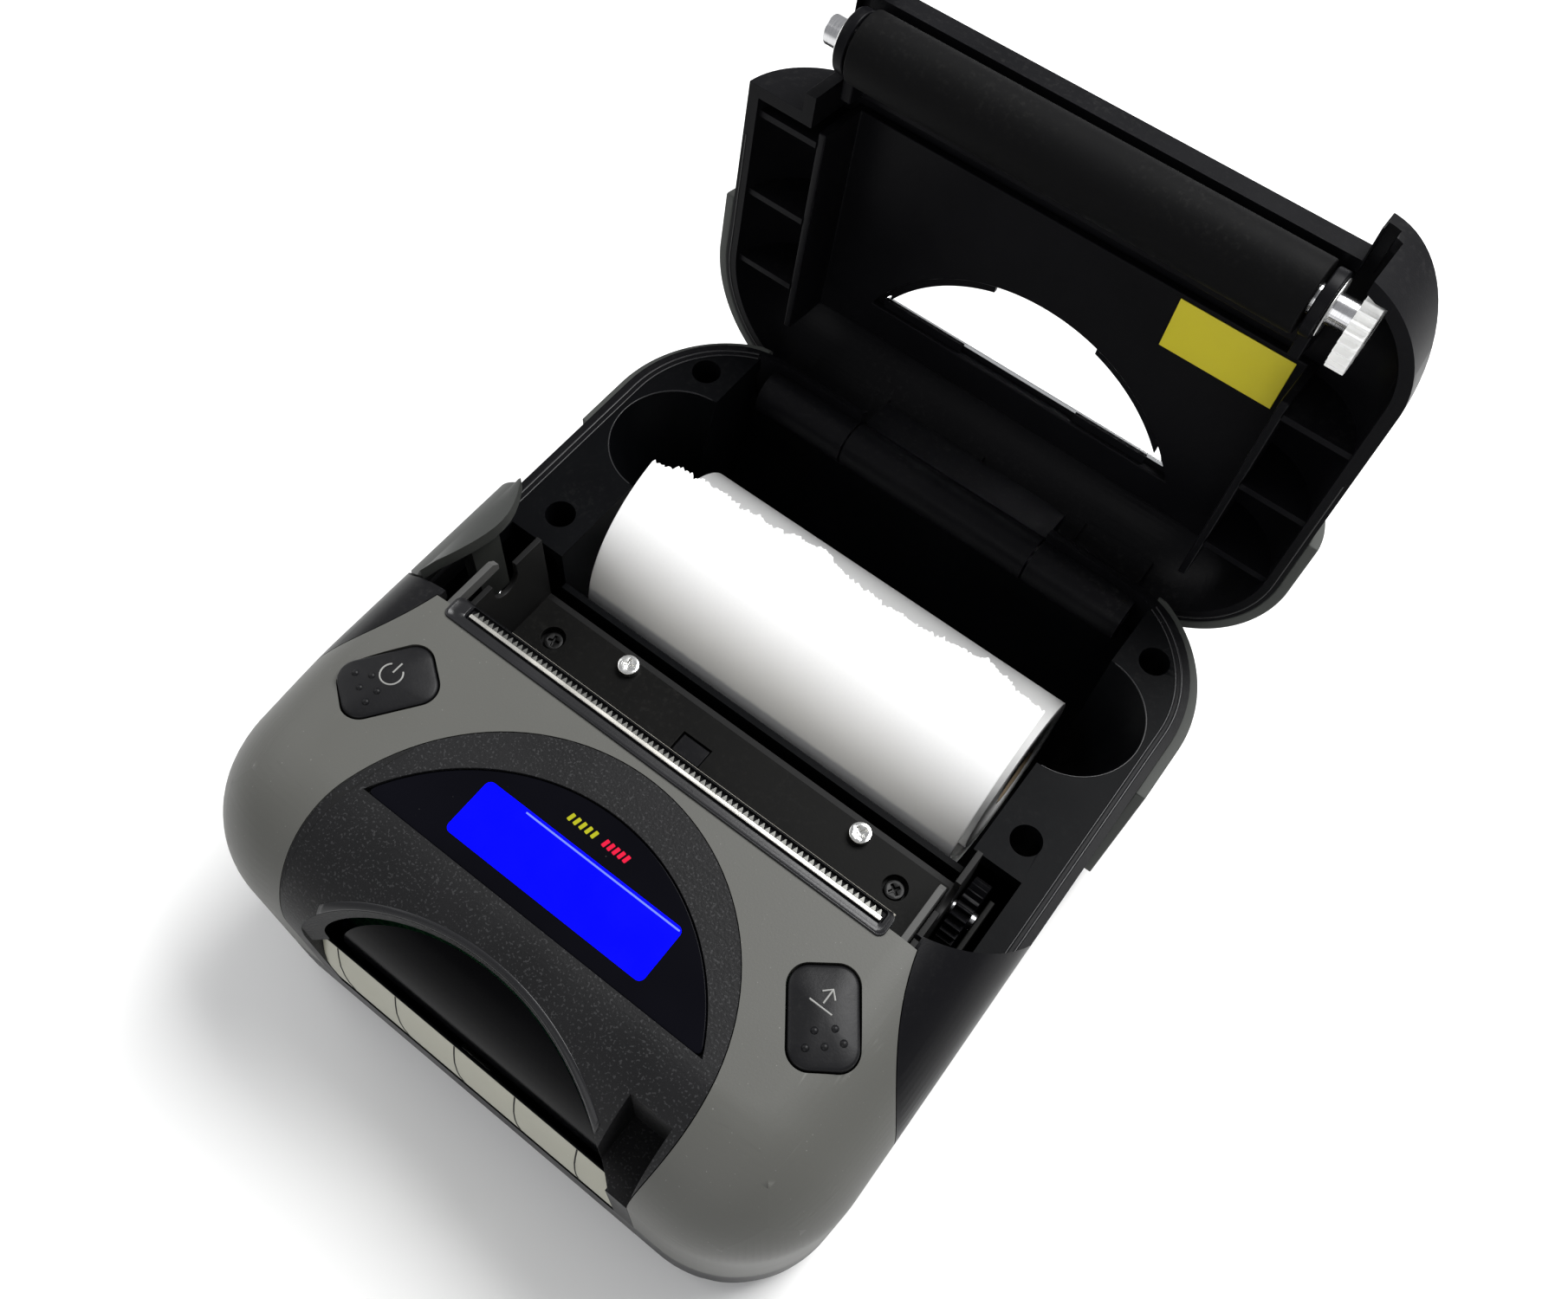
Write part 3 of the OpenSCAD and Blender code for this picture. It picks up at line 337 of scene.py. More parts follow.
def clear_plastic(name):
    """Clear window plastic with hairline scratches."""
    material, tree, shader = principled(name)
    drawn = group_node(tree, "Drawn Lines", Spread=(300.0, 3000.0, 3000.0), Depth=0.000001)
    grained = group_node(tree, "Moulded Grain", Scale=1200.0, Depth=0.000002, Patch_Scale=40.0)
    base = mix_colour(tree, grained["Patch"], (0.955, 0.965, 0.97, 1.0), (0.98, 0.985, 0.99, 1.0))
    fill(tree, shader, {"Base Color": base, "Normal": drawn["Normal"], "Transmission Weight": 1.0,
                        "Roughness": remap(tree, drawn["Lines"], 0.0, 1.0, 0.02, 0.06), "IOR": 1.49})
    return material


def circuit_board(name):
    """Solder mask over copper tracks."""
    material, tree, shader = principled(name)
    grained = group_node(tree, "Moulded Grain", Scale=1500.0, Depth=0.000005, Patch_Scale=80.0)
    tracks = add_node(tree, "ShaderNodeTexBrick", {
        "Vector": object_place(tree), "Scale": 260.0, "Mortar Size": 0.03, "Color1": (0.0, 0.0, 0.0, 1.0),
        "Color2": (0.15, 0.15, 0.15, 1.0), "Mortar": (1.0, 1.0, 1.0, 1.0)})
    base = mix_colour(tree, grained["Patch"], (0.006, 0.055, 0.022, 1.0), (0.010, 0.075, 0.030, 1.0))
    copper = remap(tree, tracks.outputs["Fac"], 0.0, 1.0, 0.0, 0.5)
    base = mix_colour(tree, copper, base, (0.05, 0.17, 0.06, 1.0))
    fill(tree, shader, {"Base Color": base, "Roughness": remap(tree, grained["Grain"], 0.0, 1.0, 0.25, 0.38),
                        "Normal": grained["Normal"]})
    return material


FINISHES = {}
EVEN = (2500.0, 2500.0, 2500.0)


def make_finishes(scene):
    """Every finish by the name of the material slot it stands for."""
    black = tuple(scene.printer_casing.case_colour)
    grey = tuple(scene.printer_casing.cover_colour)
    rubber = tuple(scene.printer_casing.bumper_colour)
    screen = scene.printer_display
    # Moulded: colour, roughness, grain scale, grain depth, patch scale, variation of colour, of roughness
    FINISHES.update({
        "case_black": moulded("Casing Black", black, 0.36, 3200.0, 0.000010, 50.0, 0.15, dust=0.03,
                              specular=0.06),
        "frame_black": moulded("Frame Black", (0.0022, 0.0024, 0.0029), 0.42, 3200.0, 0.000010, 50.0, 0.15,
                               dust=0.012, specular=0.03),
        "cover_grey": moulded("Cover Grey Paint", grey, 0.47, 2600.0, 0.000010, 45.0, 0.03, 0.03,
                              specks=(2600.0, 0.76, (0.14, 0.14, 0.13)), specular=0.25),
        "bumper_grey": moulded("Bumper Rubber", rubber, 0.62, 2200.0, 0.000022, 60.0, 0.06, 0.04,
                               dust=0.05, specular=0.22),
        "button_grey": moulded("Button Rubber", tint(rubber, 0.62), 0.55, 2200.0, 0.000020, 60.0, 0.06, 0.04,
                               specular=0.25),
        "pad_rubber": moulded("Pad Rubber", (0.010, 0.010, 0.011), 0.75, 1800.0, 0.00003, 90.0, 0.2,
                              specular=0.3),
        "bezel_black": moulded("Bezel Charcoal", (0.0085, 0.0085, 0.0090), 0.46, 2100.0, 0.000045, 60.0, 0.12,
                               0.04, specks=(2600.0, 0.61, (0.026, 0.026, 0.027)), specular=0.13),
        "lens_dark": moulded("Lens Black", (0.0025, 0.0025, 0.0040), 0.16, 900.0, 0.0000006, 40.0, 0.2, 0.03,
                             specks=(1500.0, 0.80, (0.03, 0.03, 0.03)), specular=0.03),
        "key_black": moulded("Key Rubber", (0.0040, 0.0040, 0.0047), 0.42, 2600.0, 0.000014, 80.0, 0.15,
                             dust=0.02, specular=0.18),
        "gloss_black": moulded("Gloss Black", (0.0018, 0.0018, 0.0022), 0.20, 1500.0, 0.000002, 60.0, 0.2,
                               0.04, specular=0.02),
        "slot_grey": moulded("Slot Champagne Grey", (0.290, 0.285, 0.225), 0.42, 2500.0, 0.000010, 55.0,
                             0.04, specks=(2200.0, 0.74, (0.36, 0.35, 0.29))),
        "guide_black": moulded("Guide Satin Black", (0.0036, 0.0036, 0.0034), 0.42, 2600.0, 0.000010, 70.0,
                               0.15, dust=0.02, specular=0.05),
        "gear_white": moulded("Gear White", (0.94, 0.94, 0.92), 0.38, 2000.0, 0.000008, 110.0, 0.05),
        "battery_wrap": moulded("Battery Wrap", (0.020, 0.026, 0.07), 0.30, 1500.0, 0.00001, 50.0, 0.1,
                                coat=0.3),
        "core_card": moulded("Core Card", (0.36, 0.27, 0.17), 0.80, 1800.0, 0.00004, 140.0, 0.1),
        "label_yellow": moulded("Label Yellow", (0.66, 0.57, 0.013), 0.38, 1800.0, 0.000006, 55.0, 0.04,
                                coat=0.15),
        "platen_rubber": moulded("Platen Rubber", (0.0030, 0.0030, 0.0032), 0.64, 3000.0, 0.000016, 60.0,
                                 0.15, dust=0.02, specular=0.06),
        "chassis_dark": moulded("Chassis Blackened Plate", (0.010, 0.010, 0.010), 0.46, 2600.0, 0.000006,
                                60.0, 0.12, specular=0.10),
        "latch_grey": moulded("Latch Satin Zinc", (0.075, 0.075, 0.073), 0.50, 2600.0, 0.000006, 60.0, 0.12,
                              specular=0.12),
        "head_ceramic": moulded("Head Ceramic", (0.60, 0.57, 0.50), 0.30, 2500.0, 0.000004, 80.0, 0.05,
                                coat=0.4),
        "mark_light": moulded("Key Symbol Grey", (0.22, 0.22, 0.21), 0.50, 2500.0, 0.000006, 120.0, 0.06),
        # Near-black of the card bar's grooves, also used as painted shade in the crescent at the bezel's left
        # end.
        "groove_dark_and_painted_shade": moulded("Joint Dark", (0.004, 0.004, 0.004), 0.70, 2500.0, 0.00001, 90.0, 0.15,
                               specular=0.2),
        "ridge_black": moulded("Ridge Satin Black", (0.010, 0.010, 0.011), 0.26, 2600.0, 0.000008, 60.0,
                               0.12, specular=0.28),
        "indicator_green": lit_screen("Indicator Green", (0.24, 0.24, 0.01), 0.55),
        "indicator_red": lit_screen("Indicator Red", (0.42, 0.008, 0.03), 0.55),
        "lcd_blue": lit_screen("Screen Blue", tuple(screen.screen_colour), screen.screen_glow),
        "screen_line": lit_screen("Screen Edge", (0.10, 0.14, 1.0), 0.6),
        "board_green": circuit_board("Circuit Board"),
        "window_clear": clear_plastic("Window Clear"),
        "paper_white": coiled_paper("Paper"),
        # The wound roll's paper: the same paper darkened to 0.72, painted shade.
        "paper_wound": coiled_paper("Wound Paper", 0.72),
        # Metal: colour, roughness, how the drawn lines run, their depth, variation of colour
        "screw_steel": metal("Screw Steel", (0.40, 0.40, 0.41), 0.34, EVEN),
        "screw_black": metal("Screw Blackened", (0.02, 0.02, 0.02), 0.42, EVEN),
        "screw_bright": metal("Screw Bright", (0.74, 0.74, 0.72), 0.20, EVEN),
        # The tear bar's teeth: a much darker copy of the blade steel, painted shade.
        "teeth_steel_painted_shade": metal("Teeth Steel", (0.16, 0.16, 0.15), 0.36, EVEN),
        "steel": metal("Plate Steel", (0.52, 0.52, 0.53), 0.27),
        "blade_steel": metal("Blade Steel", (0.78, 0.76, 0.70), 0.26, (60.0, 5000.0, 5000.0), 0.000001, 0.04),
        "shaft_steel": metal("Shaft Steel", (0.62, 0.62, 0.63), 0.18, (4000.0, 200.0, 200.0)),
        "bush_metal": metal("Bush Metal", (0.66, 0.66, 0.65), 0.24, (2500.0, 900.0, 900.0)),
        "motor_steel": metal("Motor Steel", (0.34, 0.34, 0.35), 0.32, (3000.0, 100.0, 100.0)),
        "pinion_brass": metal("Pinion Brass", (0.68, 0.47, 0.20), 0.26, (3000.0, 900.0, 900.0)),
        "heatsink_aluminium": metal("Heatsink Aluminium", (0.56, 0.56, 0.57), 0.38),
    })


# ---------- making pieces ----------

def new_piece(name, mesh, finish, body, slot=None, replaces=(), smooth=None):
    """Puts a finished mesh into the scene: its finish, the body it rides on, and what it stands for."""
    if smooth is not None:
        mesh.polygons.foreach_set("use_smooth", [smooth] * len(mesh.polygons))
    mesh.name = name
    piece = bpy.data.objects.new(name, mesh)
    bpy.context.scene.collection.objects.link(piece)
    mesh.materials.clear()
    mesh.materials.append(FINISHES[finish])
    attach(piece, body)
    if replaces:
        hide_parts(*replaces)
    return piece


def even_piece(*given, **named):
    """A smooth piece whose flat faces stay flat."""
    piece = new_piece(*given, smooth=True, **named)
    modifier = piece.modifiers.new("Even Faces", "WEIGHTED_NORMAL")
    modifier.keep_sharp = True
    modifier.weight = 60
    return piece


def node_slot(node):
    return frame["nodes"][node].data.materials[0].name


def opened(mesh):
    """The mesh ready for editing."""
    builder = bmesh.new()
    builder.from_mesh(mesh)
    return builder


def closed(builder, mesh=None):
    """The edited mesh written back, or to a new one."""
    mesh = mesh or bpy.data.meshes.new("made")
    builder.to_mesh(mesh)
    builder.free()
    return mesh


def grid_mesh(rings, close_rings=True, caps=True, close_ends=False):
    """A surface through rings of points in mm; each ring has the same count."""
    builder = bmesh.new()
    rows = [[builder.verts.new(Vector(p) * MM) for p in ring] for ring in rings]
    pairs = list(zip(rows, rows[1:])) + ([(rows[-1], rows[0])] if close_ends else [])
    for low, high in pairs:
        count = len(low)
        for i in range(count if close_rings else count - 1):
            j = (i + 1) % count
            builder.faces.new((low[i], low[j], high[j], high[i]))
    if caps and close_rings:
        for row, turn in ((rows[0], True), (rows[-1], False)):
            builder.faces.new(row[::-1] if turn else row)
    bmesh.ops.remove_doubles(builder, verts=builder.verts, dist=1e-7)
    bmesh.ops.recalc_face_normals(builder, faces=builder.faces)
    return closed(builder)


def stacked(outline, heights):
    """A flat outline's rings at several heights."""
    return [[(x, y, z) for x, y in outline] for z in heights]


def plan_solid(outline, z0, z1, round_by, steps=3):
    """A flat piece over a plan outline, with its top edge rounded; in mm."""
    points = [Vector((x, y)) for x, y in outline]
    rings = stacked(points, (z0,))
    for k in range(steps + 1):
        angle = math.pi / 2 * k / steps
        inset = round_by * (1 - math.cos(angle))
        rings += stacked(inset_outline(points, inset), (z1 - round_by + round_by * math.sin(angle),))
    return grid_mesh(rings)


def inset_outline(points, amount):
    if amount <= 0:
        return points
    count = len(points)
    result = []
    for i, p in enumerate(points):
        before = (p - points[i - 1]).normalized()
        after = (points[(i + 1) % count] - p).normalized()
        left = Vector((-(before.y + after.y), before.x + after.x))
        left.normalize()
        cosine = max(0.5, left.dot(Vector((-before.y, before.x))))
        result.append(p + left * (amount / cosine))
    return result


def turned(x, y, degrees):
    c, s = math.cos(math.radians(degrees)), math.sin(math.radians(degrees))
    return x * c - y * s, x * s + y * c


def rounded_rect(cx, cy, half_x, half_y, r, steps=6, turn=0.0):
    """Outline of a rectangle with round corners, anticlockwise, in mm."""
    points = []
    for corner, (sx, sy) in enumerate(((1, 1), (-1, 1), (-1, -1), (1, -1))):
        for k in range(steps + 1):
            angle = math.pi / 2 * (corner + k / steps)
            x, y = turned(sx * (half_x - r) + r * math.cos(angle),
                          sy * (half_y - r) + r * math.sin(angle), turn)
            points.append((cx + x, cy + y))
    return points


def half_moon(cy, edge_y, r, corner, steps=40):
    """Outline of a circle cut off by a straight edge, anticlockwise, its two corners rounded."""
    start = math.atan2(edge_y - cy, math.sqrt(r * r - (edge_y - cy) ** 2))
    points = [(r * math.cos(a), cy + r * math.sin(a)) for a in np.linspace(start, math.pi - start, steps)]
    return soften_corners(points, corner)


def soften_corners(points, radius, sharp=25.0, steps=6):
    """Replaces each corner of an outline sharper than so many degrees by a small arc."""
    result = []
    count = len(points)
    for i in range(count):
        a, b, c = (Vector(points[i - 1]), Vector(points[i]), Vector(points[(i + 1) % count]))
        before, after = (a - b), (c - b)
        if math.degrees(math.pi - before.angle(after)) < sharp:
            result.append(tuple(b))
            continue
        cut = min(radius, before.length * 0.9, after.length * 0.9)
        p, q = b + before.normalized() * cut, b + after.normalized() * cut
        for k in range(steps + 1):
            t = k / steps
            result.append(tuple(p * (1 - t) ** 2 + b * 2 * t * (1 - t) + q * t ** 2))
    return result


def joined(meshes):
    """One mesh from several, each kept closed on its own."""
    builder = bmesh.new()
    for mesh in meshes:
        builder.from_mesh(mesh)
        bpy.data.meshes.remove(mesh)
    return closed(builder)


ON_LID = (Matrix.Translation(HINGE * MM) @ Matrix.Rotation(math.radians(-LID_OPEN), 4, "X")
          @ Matrix.Translation(-HINGE * MM))


def onto_lid(mesh):
    """Turns a mesh made for the closed lid to where the lid stands."""
    mesh.transform(ON_LID)
    return mesh


def evaluated(mesh, kind, settings):
    """A mesh with one modifier done, as a plain mesh; the mesh given is used up."""
    draft = bpy.data.objects.new("draft", mesh)
    bpy.context.scene.collection.objects.link(draft)
    modifier = draft.modifiers.new("Draft", kind)
    settings(modifier)
    graph = bpy.context.evaluated_depsgraph_get()
    graph.update()
    result = bpy.data.meshes.new_from_object(draft.evaluated_get(graph), depsgraph=graph)
    bpy.data.objects.remove(draft)
    bpy.data.meshes.remove(mesh)
    return result


# ---------- the rounded case ----------

def rounded_box(u, v, centre_v, half_u, half_v, radius):
    """Depth below a rectangle with rounded corners: below zero inside."""
    a = np.abs(u) - half_u + radius
    b = np.abs(v - centre_v) - half_v + radius
    return np.hypot(np.maximum(a, 0), np.maximum(b, 0)) + np.minimum(np.maximum(a, b), 0) - radius


def plan_depth(p, front_r=FRONT_R):
    return rounded_box(p[:, 0], p[:, 1], 0.0, HALF_W, HALF_LEN, np.where(p[:, 1] < 0, front_r, REAR_R))


def cad_depth(p):
    """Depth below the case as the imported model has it: three profiles crossed."""
    x, y, z = p.T
    half = HEIGHT / 2
    side = rounded_box(y, z, half, HALF_LEN, half,
                       np.where(z < half, FOOT_R, np.where(y < 0, BROW_R, SHOULDER_R)))
    front = rounded_box(x, z, half, HALF_W, half, np.where(z < half, FOOT_R, SHOULDER_R))
    return np.maximum(np.maximum(plan_depth(p), side), front)


def fillet(a, b, r):
    """Depth below two crossed faces with their edge rounded."""
    return np.hypot(np.maximum(a + r, 0), np.maximum(b + r, 0)) + np.minimum(np.maximum(a + r, b + r), 0) - r


def smooth_depth(p):
    """Depth below the same case with its top and bottom edges rolled round the corners."""
    t = np.clip((-30.0 - p[:, 1]) / 25.0, 0, 1)
    top_r = SHOULDER_R + (BROW_R - SHOULDER_R) * t * t * (3 - 2 * t)
    plan = plan_depth(p, SOFT_FRONT_R)
    return np.maximum(fillet(plan, p[:, 2] - HEIGHT, top_r), fillet(plan, -p[:, 2], FOOT_R))


def settle(points):
    """Moves points of the crossed profiles onto the rolled corners, keeping their depth."""
    points = points.copy()
    wanted = cad_depth(points)
    fade = np.clip((wanted + 10.0) / 6.0, 0, 1)[:, None]
    step = 0.01
    for _ in range(4):
        gradient = np.empty_like(points)
        for axis in range(3):
            shift = np.zeros(3)
            shift[axis] = step
            gradient[:, axis] = (smooth_depth(points + shift) - smooth_depth(points - shift)) / (2 * step)
        gradient /= np.maximum(np.linalg.norm(gradient, axis=1), 1e-6)[:, None]
        points -= gradient * (smooth_depth(points) - wanted)[:, None] * fade
    return points


def roll_corners(mesh, closed_lid=False):
    """Gives a shell's mesh the rolled corners; a lid shell is treated in its closed place."""
    if closed_lid:
        mesh.transform(ON_LID.inverted())
    builder = opened(mesh)
    bmesh.ops.triangulate(builder, faces=builder.faces)
    for _ in range(5):
        edges = list(builder.edges)
        ends = np.array([[*e.verts[0].co, *e.verts[1].co] for e in edges]) * 1000.0
        a, b = ends[:, :3], ends[:, 3:]
        length = np.linalg.norm(b - a, axis=1)
        moved = np.zeros(len(edges))
        for t in (0.02, 0.25, 0.5, 0.75, 0.98):
            p = a + (b - a) * t
            wanted = cad_depth(p)
            moved = np.maximum(moved, np.where(wanted > -9.5, np.abs(smooth_depth(p) - wanted), 0))
        chosen = [e for e, far, size in zip(edges, moved, length) if far > 0.02 and size > 2.6]
        if not chosen:
            break
        bmesh.ops.subdivide_edges(builder, edges=chosen, cuts=1, use_grid_fill=False)
        bmesh.ops.triangulate(builder, faces=[f for f in builder.faces if len(f.verts) > 3])
    builder.verts.ensure_lookup_table()
    points = np.array([v.co for v in builder.verts]) * 1000.0
    for vert, place in zip(builder.verts, settle(points) * MM):
        vert.co = place
    closed(builder, mesh)
    if closed_lid:
        mesh.transform(ON_LID)
    return mesh


def softened_mesh(node, width=None, segments=2):
    """A copy of a node's mesh, merged, with its edges broken by a small radius."""
    mesh = frame["nodes"][node].data.copy()
    builder = opened(mesh)
    bmesh.ops.remove_doubles(builder, verts=builder.verts, dist=1e-6)
    bmesh.ops.dissolve_limit(builder, angle_limit=math.radians(0.5), verts=builder.verts,
                             edges=builder.edges, delimit={"NORMAL"})
    closed(builder, mesh)

    def broken_edge(bevel):
        bevel.width = width or bpy.context.scene.printer_casing.edge_round
        bevel.segments = segments
        bevel.limit_method = "ANGLE"
        bevel.angle_limit = math.radians(35.0)
        bevel.use_clamp_overlap = True
    return evaluated(mesh, "BEVEL", broken_edge)


def soft_copy(node, finish=None, width=None, segments=2, rolled=False):
    """A detailed piece that stands for a node: broken edges, and rolled corners on a shell."""
    mesh = softened_mesh(node, width, segments)
    body = BODY_OF[node]
    if rolled:
        roll_corners(mesh, closed_lid=body in ("lid", "platen"))
    return even_piece(node + "_moulding", mesh, finish or node_slot(node), body, node_slot(node), (node,))


# ---------- geometry nodes ----------

def copies_on_points(tree, given):
    """One piece on every point, turned by the point's own angles."""
    info = add_node(tree, "GeometryNodeObjectInfo", {"Object": given["Piece"]})
    angles = add_node(tree, "GeometryNodeInputNamedAttribute", {"Name": "turn"}, data_type="FLOAT_VECTOR")
    turn = add_node(tree, "FunctionNodeEulerToRotation", {0: angles.outputs["Attribute"]})
    return add_node(tree, "GeometryNodeInstanceOnPoints", {
        "Points": given["Geometry"], "Instance": info.outputs["Geometry"],
        "Rotation": turn.outputs[0]}).outputs["Instances"]


def tube(tree, curve, width):
    """A round tube along a curve."""
    section = add_node(tree, "GeometryNodeCurvePrimitiveCircle", {
        "Resolution": 10, "Radius": math_node(tree, "MULTIPLY", width, 0.5)})
    return add_node(tree, "GeometryNodeCurveToMesh", {
        "Curve": curve, "Profile Curve": section.outputs["Curve"], "Fill Caps": True}).outputs["Mesh"]


def spring_wire(tree, given):
    """A compression spring standing on its lower end."""
    helix = add_node(tree, "GeometryNodeCurveSpiral", {
        "Resolution": 28, "Start Radius": given["Radius"], "End Radius": given["Radius"],
        "Rotations": given["Turns"], "Height": given["Height"]})
    return tube(tree, helix.outputs["Curve"], given["Wire"])


def edge_bead(tree, given):
    """A round bead that follows an edge line."""
    line = add_node(tree, "GeometryNodeMeshToCurve", {"Mesh": given["Geometry"]})
    return tube(tree, line.outputs["Curve"], given["Width"])


NUMBER = "NodeSocketFloat"
TREE_KINDS = {
    "Place Copies": (copies_on_points, {"Piece": "NodeSocketObject"}),
    "Wound Spring": (spring_wire, {"Radius": NUMBER, "Wire": NUMBER, "Turns": NUMBER, "Height": NUMBER}),
    "Raised Bead": (edge_bead, {"Width": NUMBER}),
}
TREES = {}


def new_tree(name):
    """Every tree ends the same way: instances made real, then the finish set."""
    builder, inputs = TREE_KINDS[name]
    tree = bpy.data.node_groups.new(name, "GeometryNodeTree")
    sockets = {"Geometry": "NodeSocketGeometry", **inputs, "Finish": "NodeSocketMaterial"}
    for label, kind in sockets.items():
        tree.interface.new_socket(name=label, in_out="INPUT", socket_type=kind)
    tree.interface.new_socket(name="Geometry", in_out="OUTPUT", socket_type="NodeSocketGeometry")
    given = add_node(tree, "NodeGroupInput").outputs
    real = add_node(tree, "GeometryNodeRealizeInstances", {"Geometry": builder(tree, given)})
    done = add_node(tree, "GeometryNodeSetMaterial", {"Geometry": real.outputs["Geometry"],
                                                      "Material": given["Finish"]})
    add_node(tree, "NodeGroupOutput", {"Geometry": done.outputs["Geometry"]})
    return tree


def grow(mesh, tree_name, finish, **values):
    """Runs one of the geometry trees on a mesh and gives back the plain mesh it makes."""
    if tree_name not in TREES:
        TREES[tree_name] = new_tree(tree_name)
    tree = TREES[tree_name]

    def tree_values(modifier):
        modifier.node_group = tree
        keys = {item.name: item.identifier for item in tree.interface.items_tree
                if item.item_type == "SOCKET" and item.in_out == "INPUT"}
        for label, value in {**values, "Finish": FINISHES[finish]}.items():
            modifier[keys[label]] = value
    result = evaluated(mesh, "NODES", tree_values)
    if not result.polygons:
        raise RuntimeError(f"{tree_name} made nothing")
    return result


def points_mesh(points, turns=None):
    """Loose points in mm, with a turn for each in degrees."""
    mesh = bpy.data.meshes.new("points")
    mesh.from_pydata([Vector(p) * MM for p in points], [], [])
    attribute = mesh.attributes.new("turn", "FLOAT_VECTOR", "POINT")
    for i, turn in enumerate(turns or [(0, 0, 0)] * len(points)):
        attribute.data[i].vector = [math.radians(a) for a in turn]
    return mesh


def bead_mesh(points, width, finish):
    """A round bead through points in mm."""
    mesh = bpy.data.meshes.new("line")
    mesh.from_pydata([Vector(p) * MM for p in points], [(i, i + 1) for i in range(len(points) - 1)], [])
    return grow(mesh, "Raised Bead", finish, Width=width * MM)


def bead(name, points, width, finish, body):
    mesh = bead_mesh(points, width, finish)
    return new_piece(name, onto_lid(mesh) if body == "lid" else mesh, finish, body, smooth=True)


def placed(name, pattern_mesh, points, turns, finish, body, slot=None, replaces=(), smooth=None):
    """Copies of a small mesh on points, as one piece."""
    pattern = bpy.data.objects.new(name + "_pattern", pattern_mesh)
    bpy.context.scene.collection.objects.link(pattern)
    mesh = grow(points_mesh(points, turns), "Place Copies", finish, Piece=pattern)
    bpy.data.objects.remove(pattern)
    bpy.data.meshes.remove(pattern_mesh)
    return new_piece(name, mesh, finish, body, slot, replaces, smooth)


def first_island(node, width):
    """The first of a node's separate solids, its edges broken, and the places of all of them, in mm."""
    mesh = softened_mesh(node, width)
    builder = opened(mesh)
    builder.verts.ensure_lookup_table()
    seen, islands = set(), []
    for vert in builder.verts:
        if vert.index in seen:
            continue
        stack, island = [vert], []
        seen.add(vert.index)
        while stack:
            current = stack.pop()
            island.append(current)
            for edge in current.link_edges:
                other = edge.other_vert(current)
                if other.index not in seen:
                    seen.add(other.index)
                    stack.append(other)
        islands.append(island)
    tops = []
    for island in islands:
        co = np.array([v.co for v in island])
        low, high = co.min(0), co.max(0)
        tops.append(np.array([(low[0] + high[0]) / 2, (low[1] + high[1]) / 2, high[2]]))
    extra = [v for island in islands[1:] for v in island]
    bmesh.ops.delete(builder, geom=extra, context="VERTS")
    bmesh.ops.translate(builder, verts=builder.verts, vec=Vector(-tops[0]))
    closed(builder, mesh)
    mesh.polygons.foreach_set("use_smooth", [True] * len(mesh.polygons))
    mesh.materials.clear()
    return mesh, [tuple(top * 1000) for top in tops]


# ---------- operators ----------

class PRINTER_OT_stage(bpy.types.Operator):
    """Sets the camera, the pale floor and the soft studio light"""
    bl_idname = "printer.stage"
    bl_label = "Stage"

    def execute(self, context):
        scene = context.scene
        camera = bpy.data.cameras.new("Camera")
        view = bpy.data.objects.new("Camera", camera)
        scene.collection.objects.link(view)
        scene.camera = view
        view.location = (0.05558, -0.07923, 0.25595)
        view.rotation_euler = [math.radians(a) for a in (28.0527, -3.3446, 37.0355)]
        camera.lens, camera.sensor_width = 32.41, 36.0
        camera.shift_x, camera.shift_y = -0.0027, -0.0041
        camera.clip_start = 0.01
        world = bpy.data.worlds.new("Studio")
        scene.world = world
        world.use_nodes = True
        sky = world.node_tree.nodes["Background"]
        sky.inputs["Color"].default_value = (0.96, 0.97, 1.0, 1.0)
        sky.inputs["Strength"].default_value = 0.42
        for name, place, target, size, power in (
                ("Key", (0.18, 0.55, 0.85), (0.0, 0.02, 0.03), 0.60, 16.5),
                ("Left Fill", (-0.75, -0.05, 0.55), (0.0, 0.0, 0.03), 0.7, 2.6),
                ("Front Fill", (0.15, -0.85, 0.40), (0.0, -0.03, 0.03), 0.7, 2.0)):
            lamp = bpy.data.lights.new(name, "AREA")
            lamp.shape, lamp.size, lamp.energy = "SQUARE", size, power
            light = bpy.data.objects.new(name, lamp)
            scene.collection.objects.link(light)
            light.location = place
            light.rotation_euler = (Vector(target) - Vector(place)).to_track_quat("-Z", "Y").to_euler()
        mesh = bpy.data.meshes.new("Floor")
        far = 1.6
        mesh.from_pydata([(-far, -far, 0), (far, -far, 0), (far, far, 0), (-far, far, 0)], [], [(0, 1, 2, 3)])
        floor = bpy.data.objects.new("Floor", mesh)
        scene.collection.objects.link(floor)
        material, tree, shader = principled("Floor Pale")
        grained = group_node(tree, "Moulded Grain", Scale=300.0, Depth=0.00001, Patch_Scale=3.0)
        fill(tree, shader, {"Roughness": 0.7, "Base Color": mix_colour(
            tree, grained["Patch"], (0.86, 0.86, 0.85, 1.0), (0.89, 0.89, 0.88, 1.0))})
        mesh.materials.append(material)
        scene.view_settings.view_transform = "Standard"
        return {"FINISHED"}


class PRINTER_OT_casing(bpy.types.Operator):
    """Makes the cover, the bottom case, the release button and the bumpers, with rolled corners"""
    bl_idname = "printer.casing"
    bl_label = "Casing"

    def execute(self, context):
        for node in ("front_cover", "bottom_case", "rear_bumper_left", "rear_bumper_right"):
            soft_copy(node, rolled=True)
        button = soft_copy("release_button", "button_grey", 0.0012, 4, rolled=True)
        curve_inner_edge(button.data)
        for node in ("battery_door", "port_cover"):
            soft_copy(node)
        pad, places = first_island("antislip_pads", 0.0003)
        placed("antislip_feet", pad, places, None, "pad_rubber", "base", replaces=("antislip_pads",))
        return {"FINISHED"}


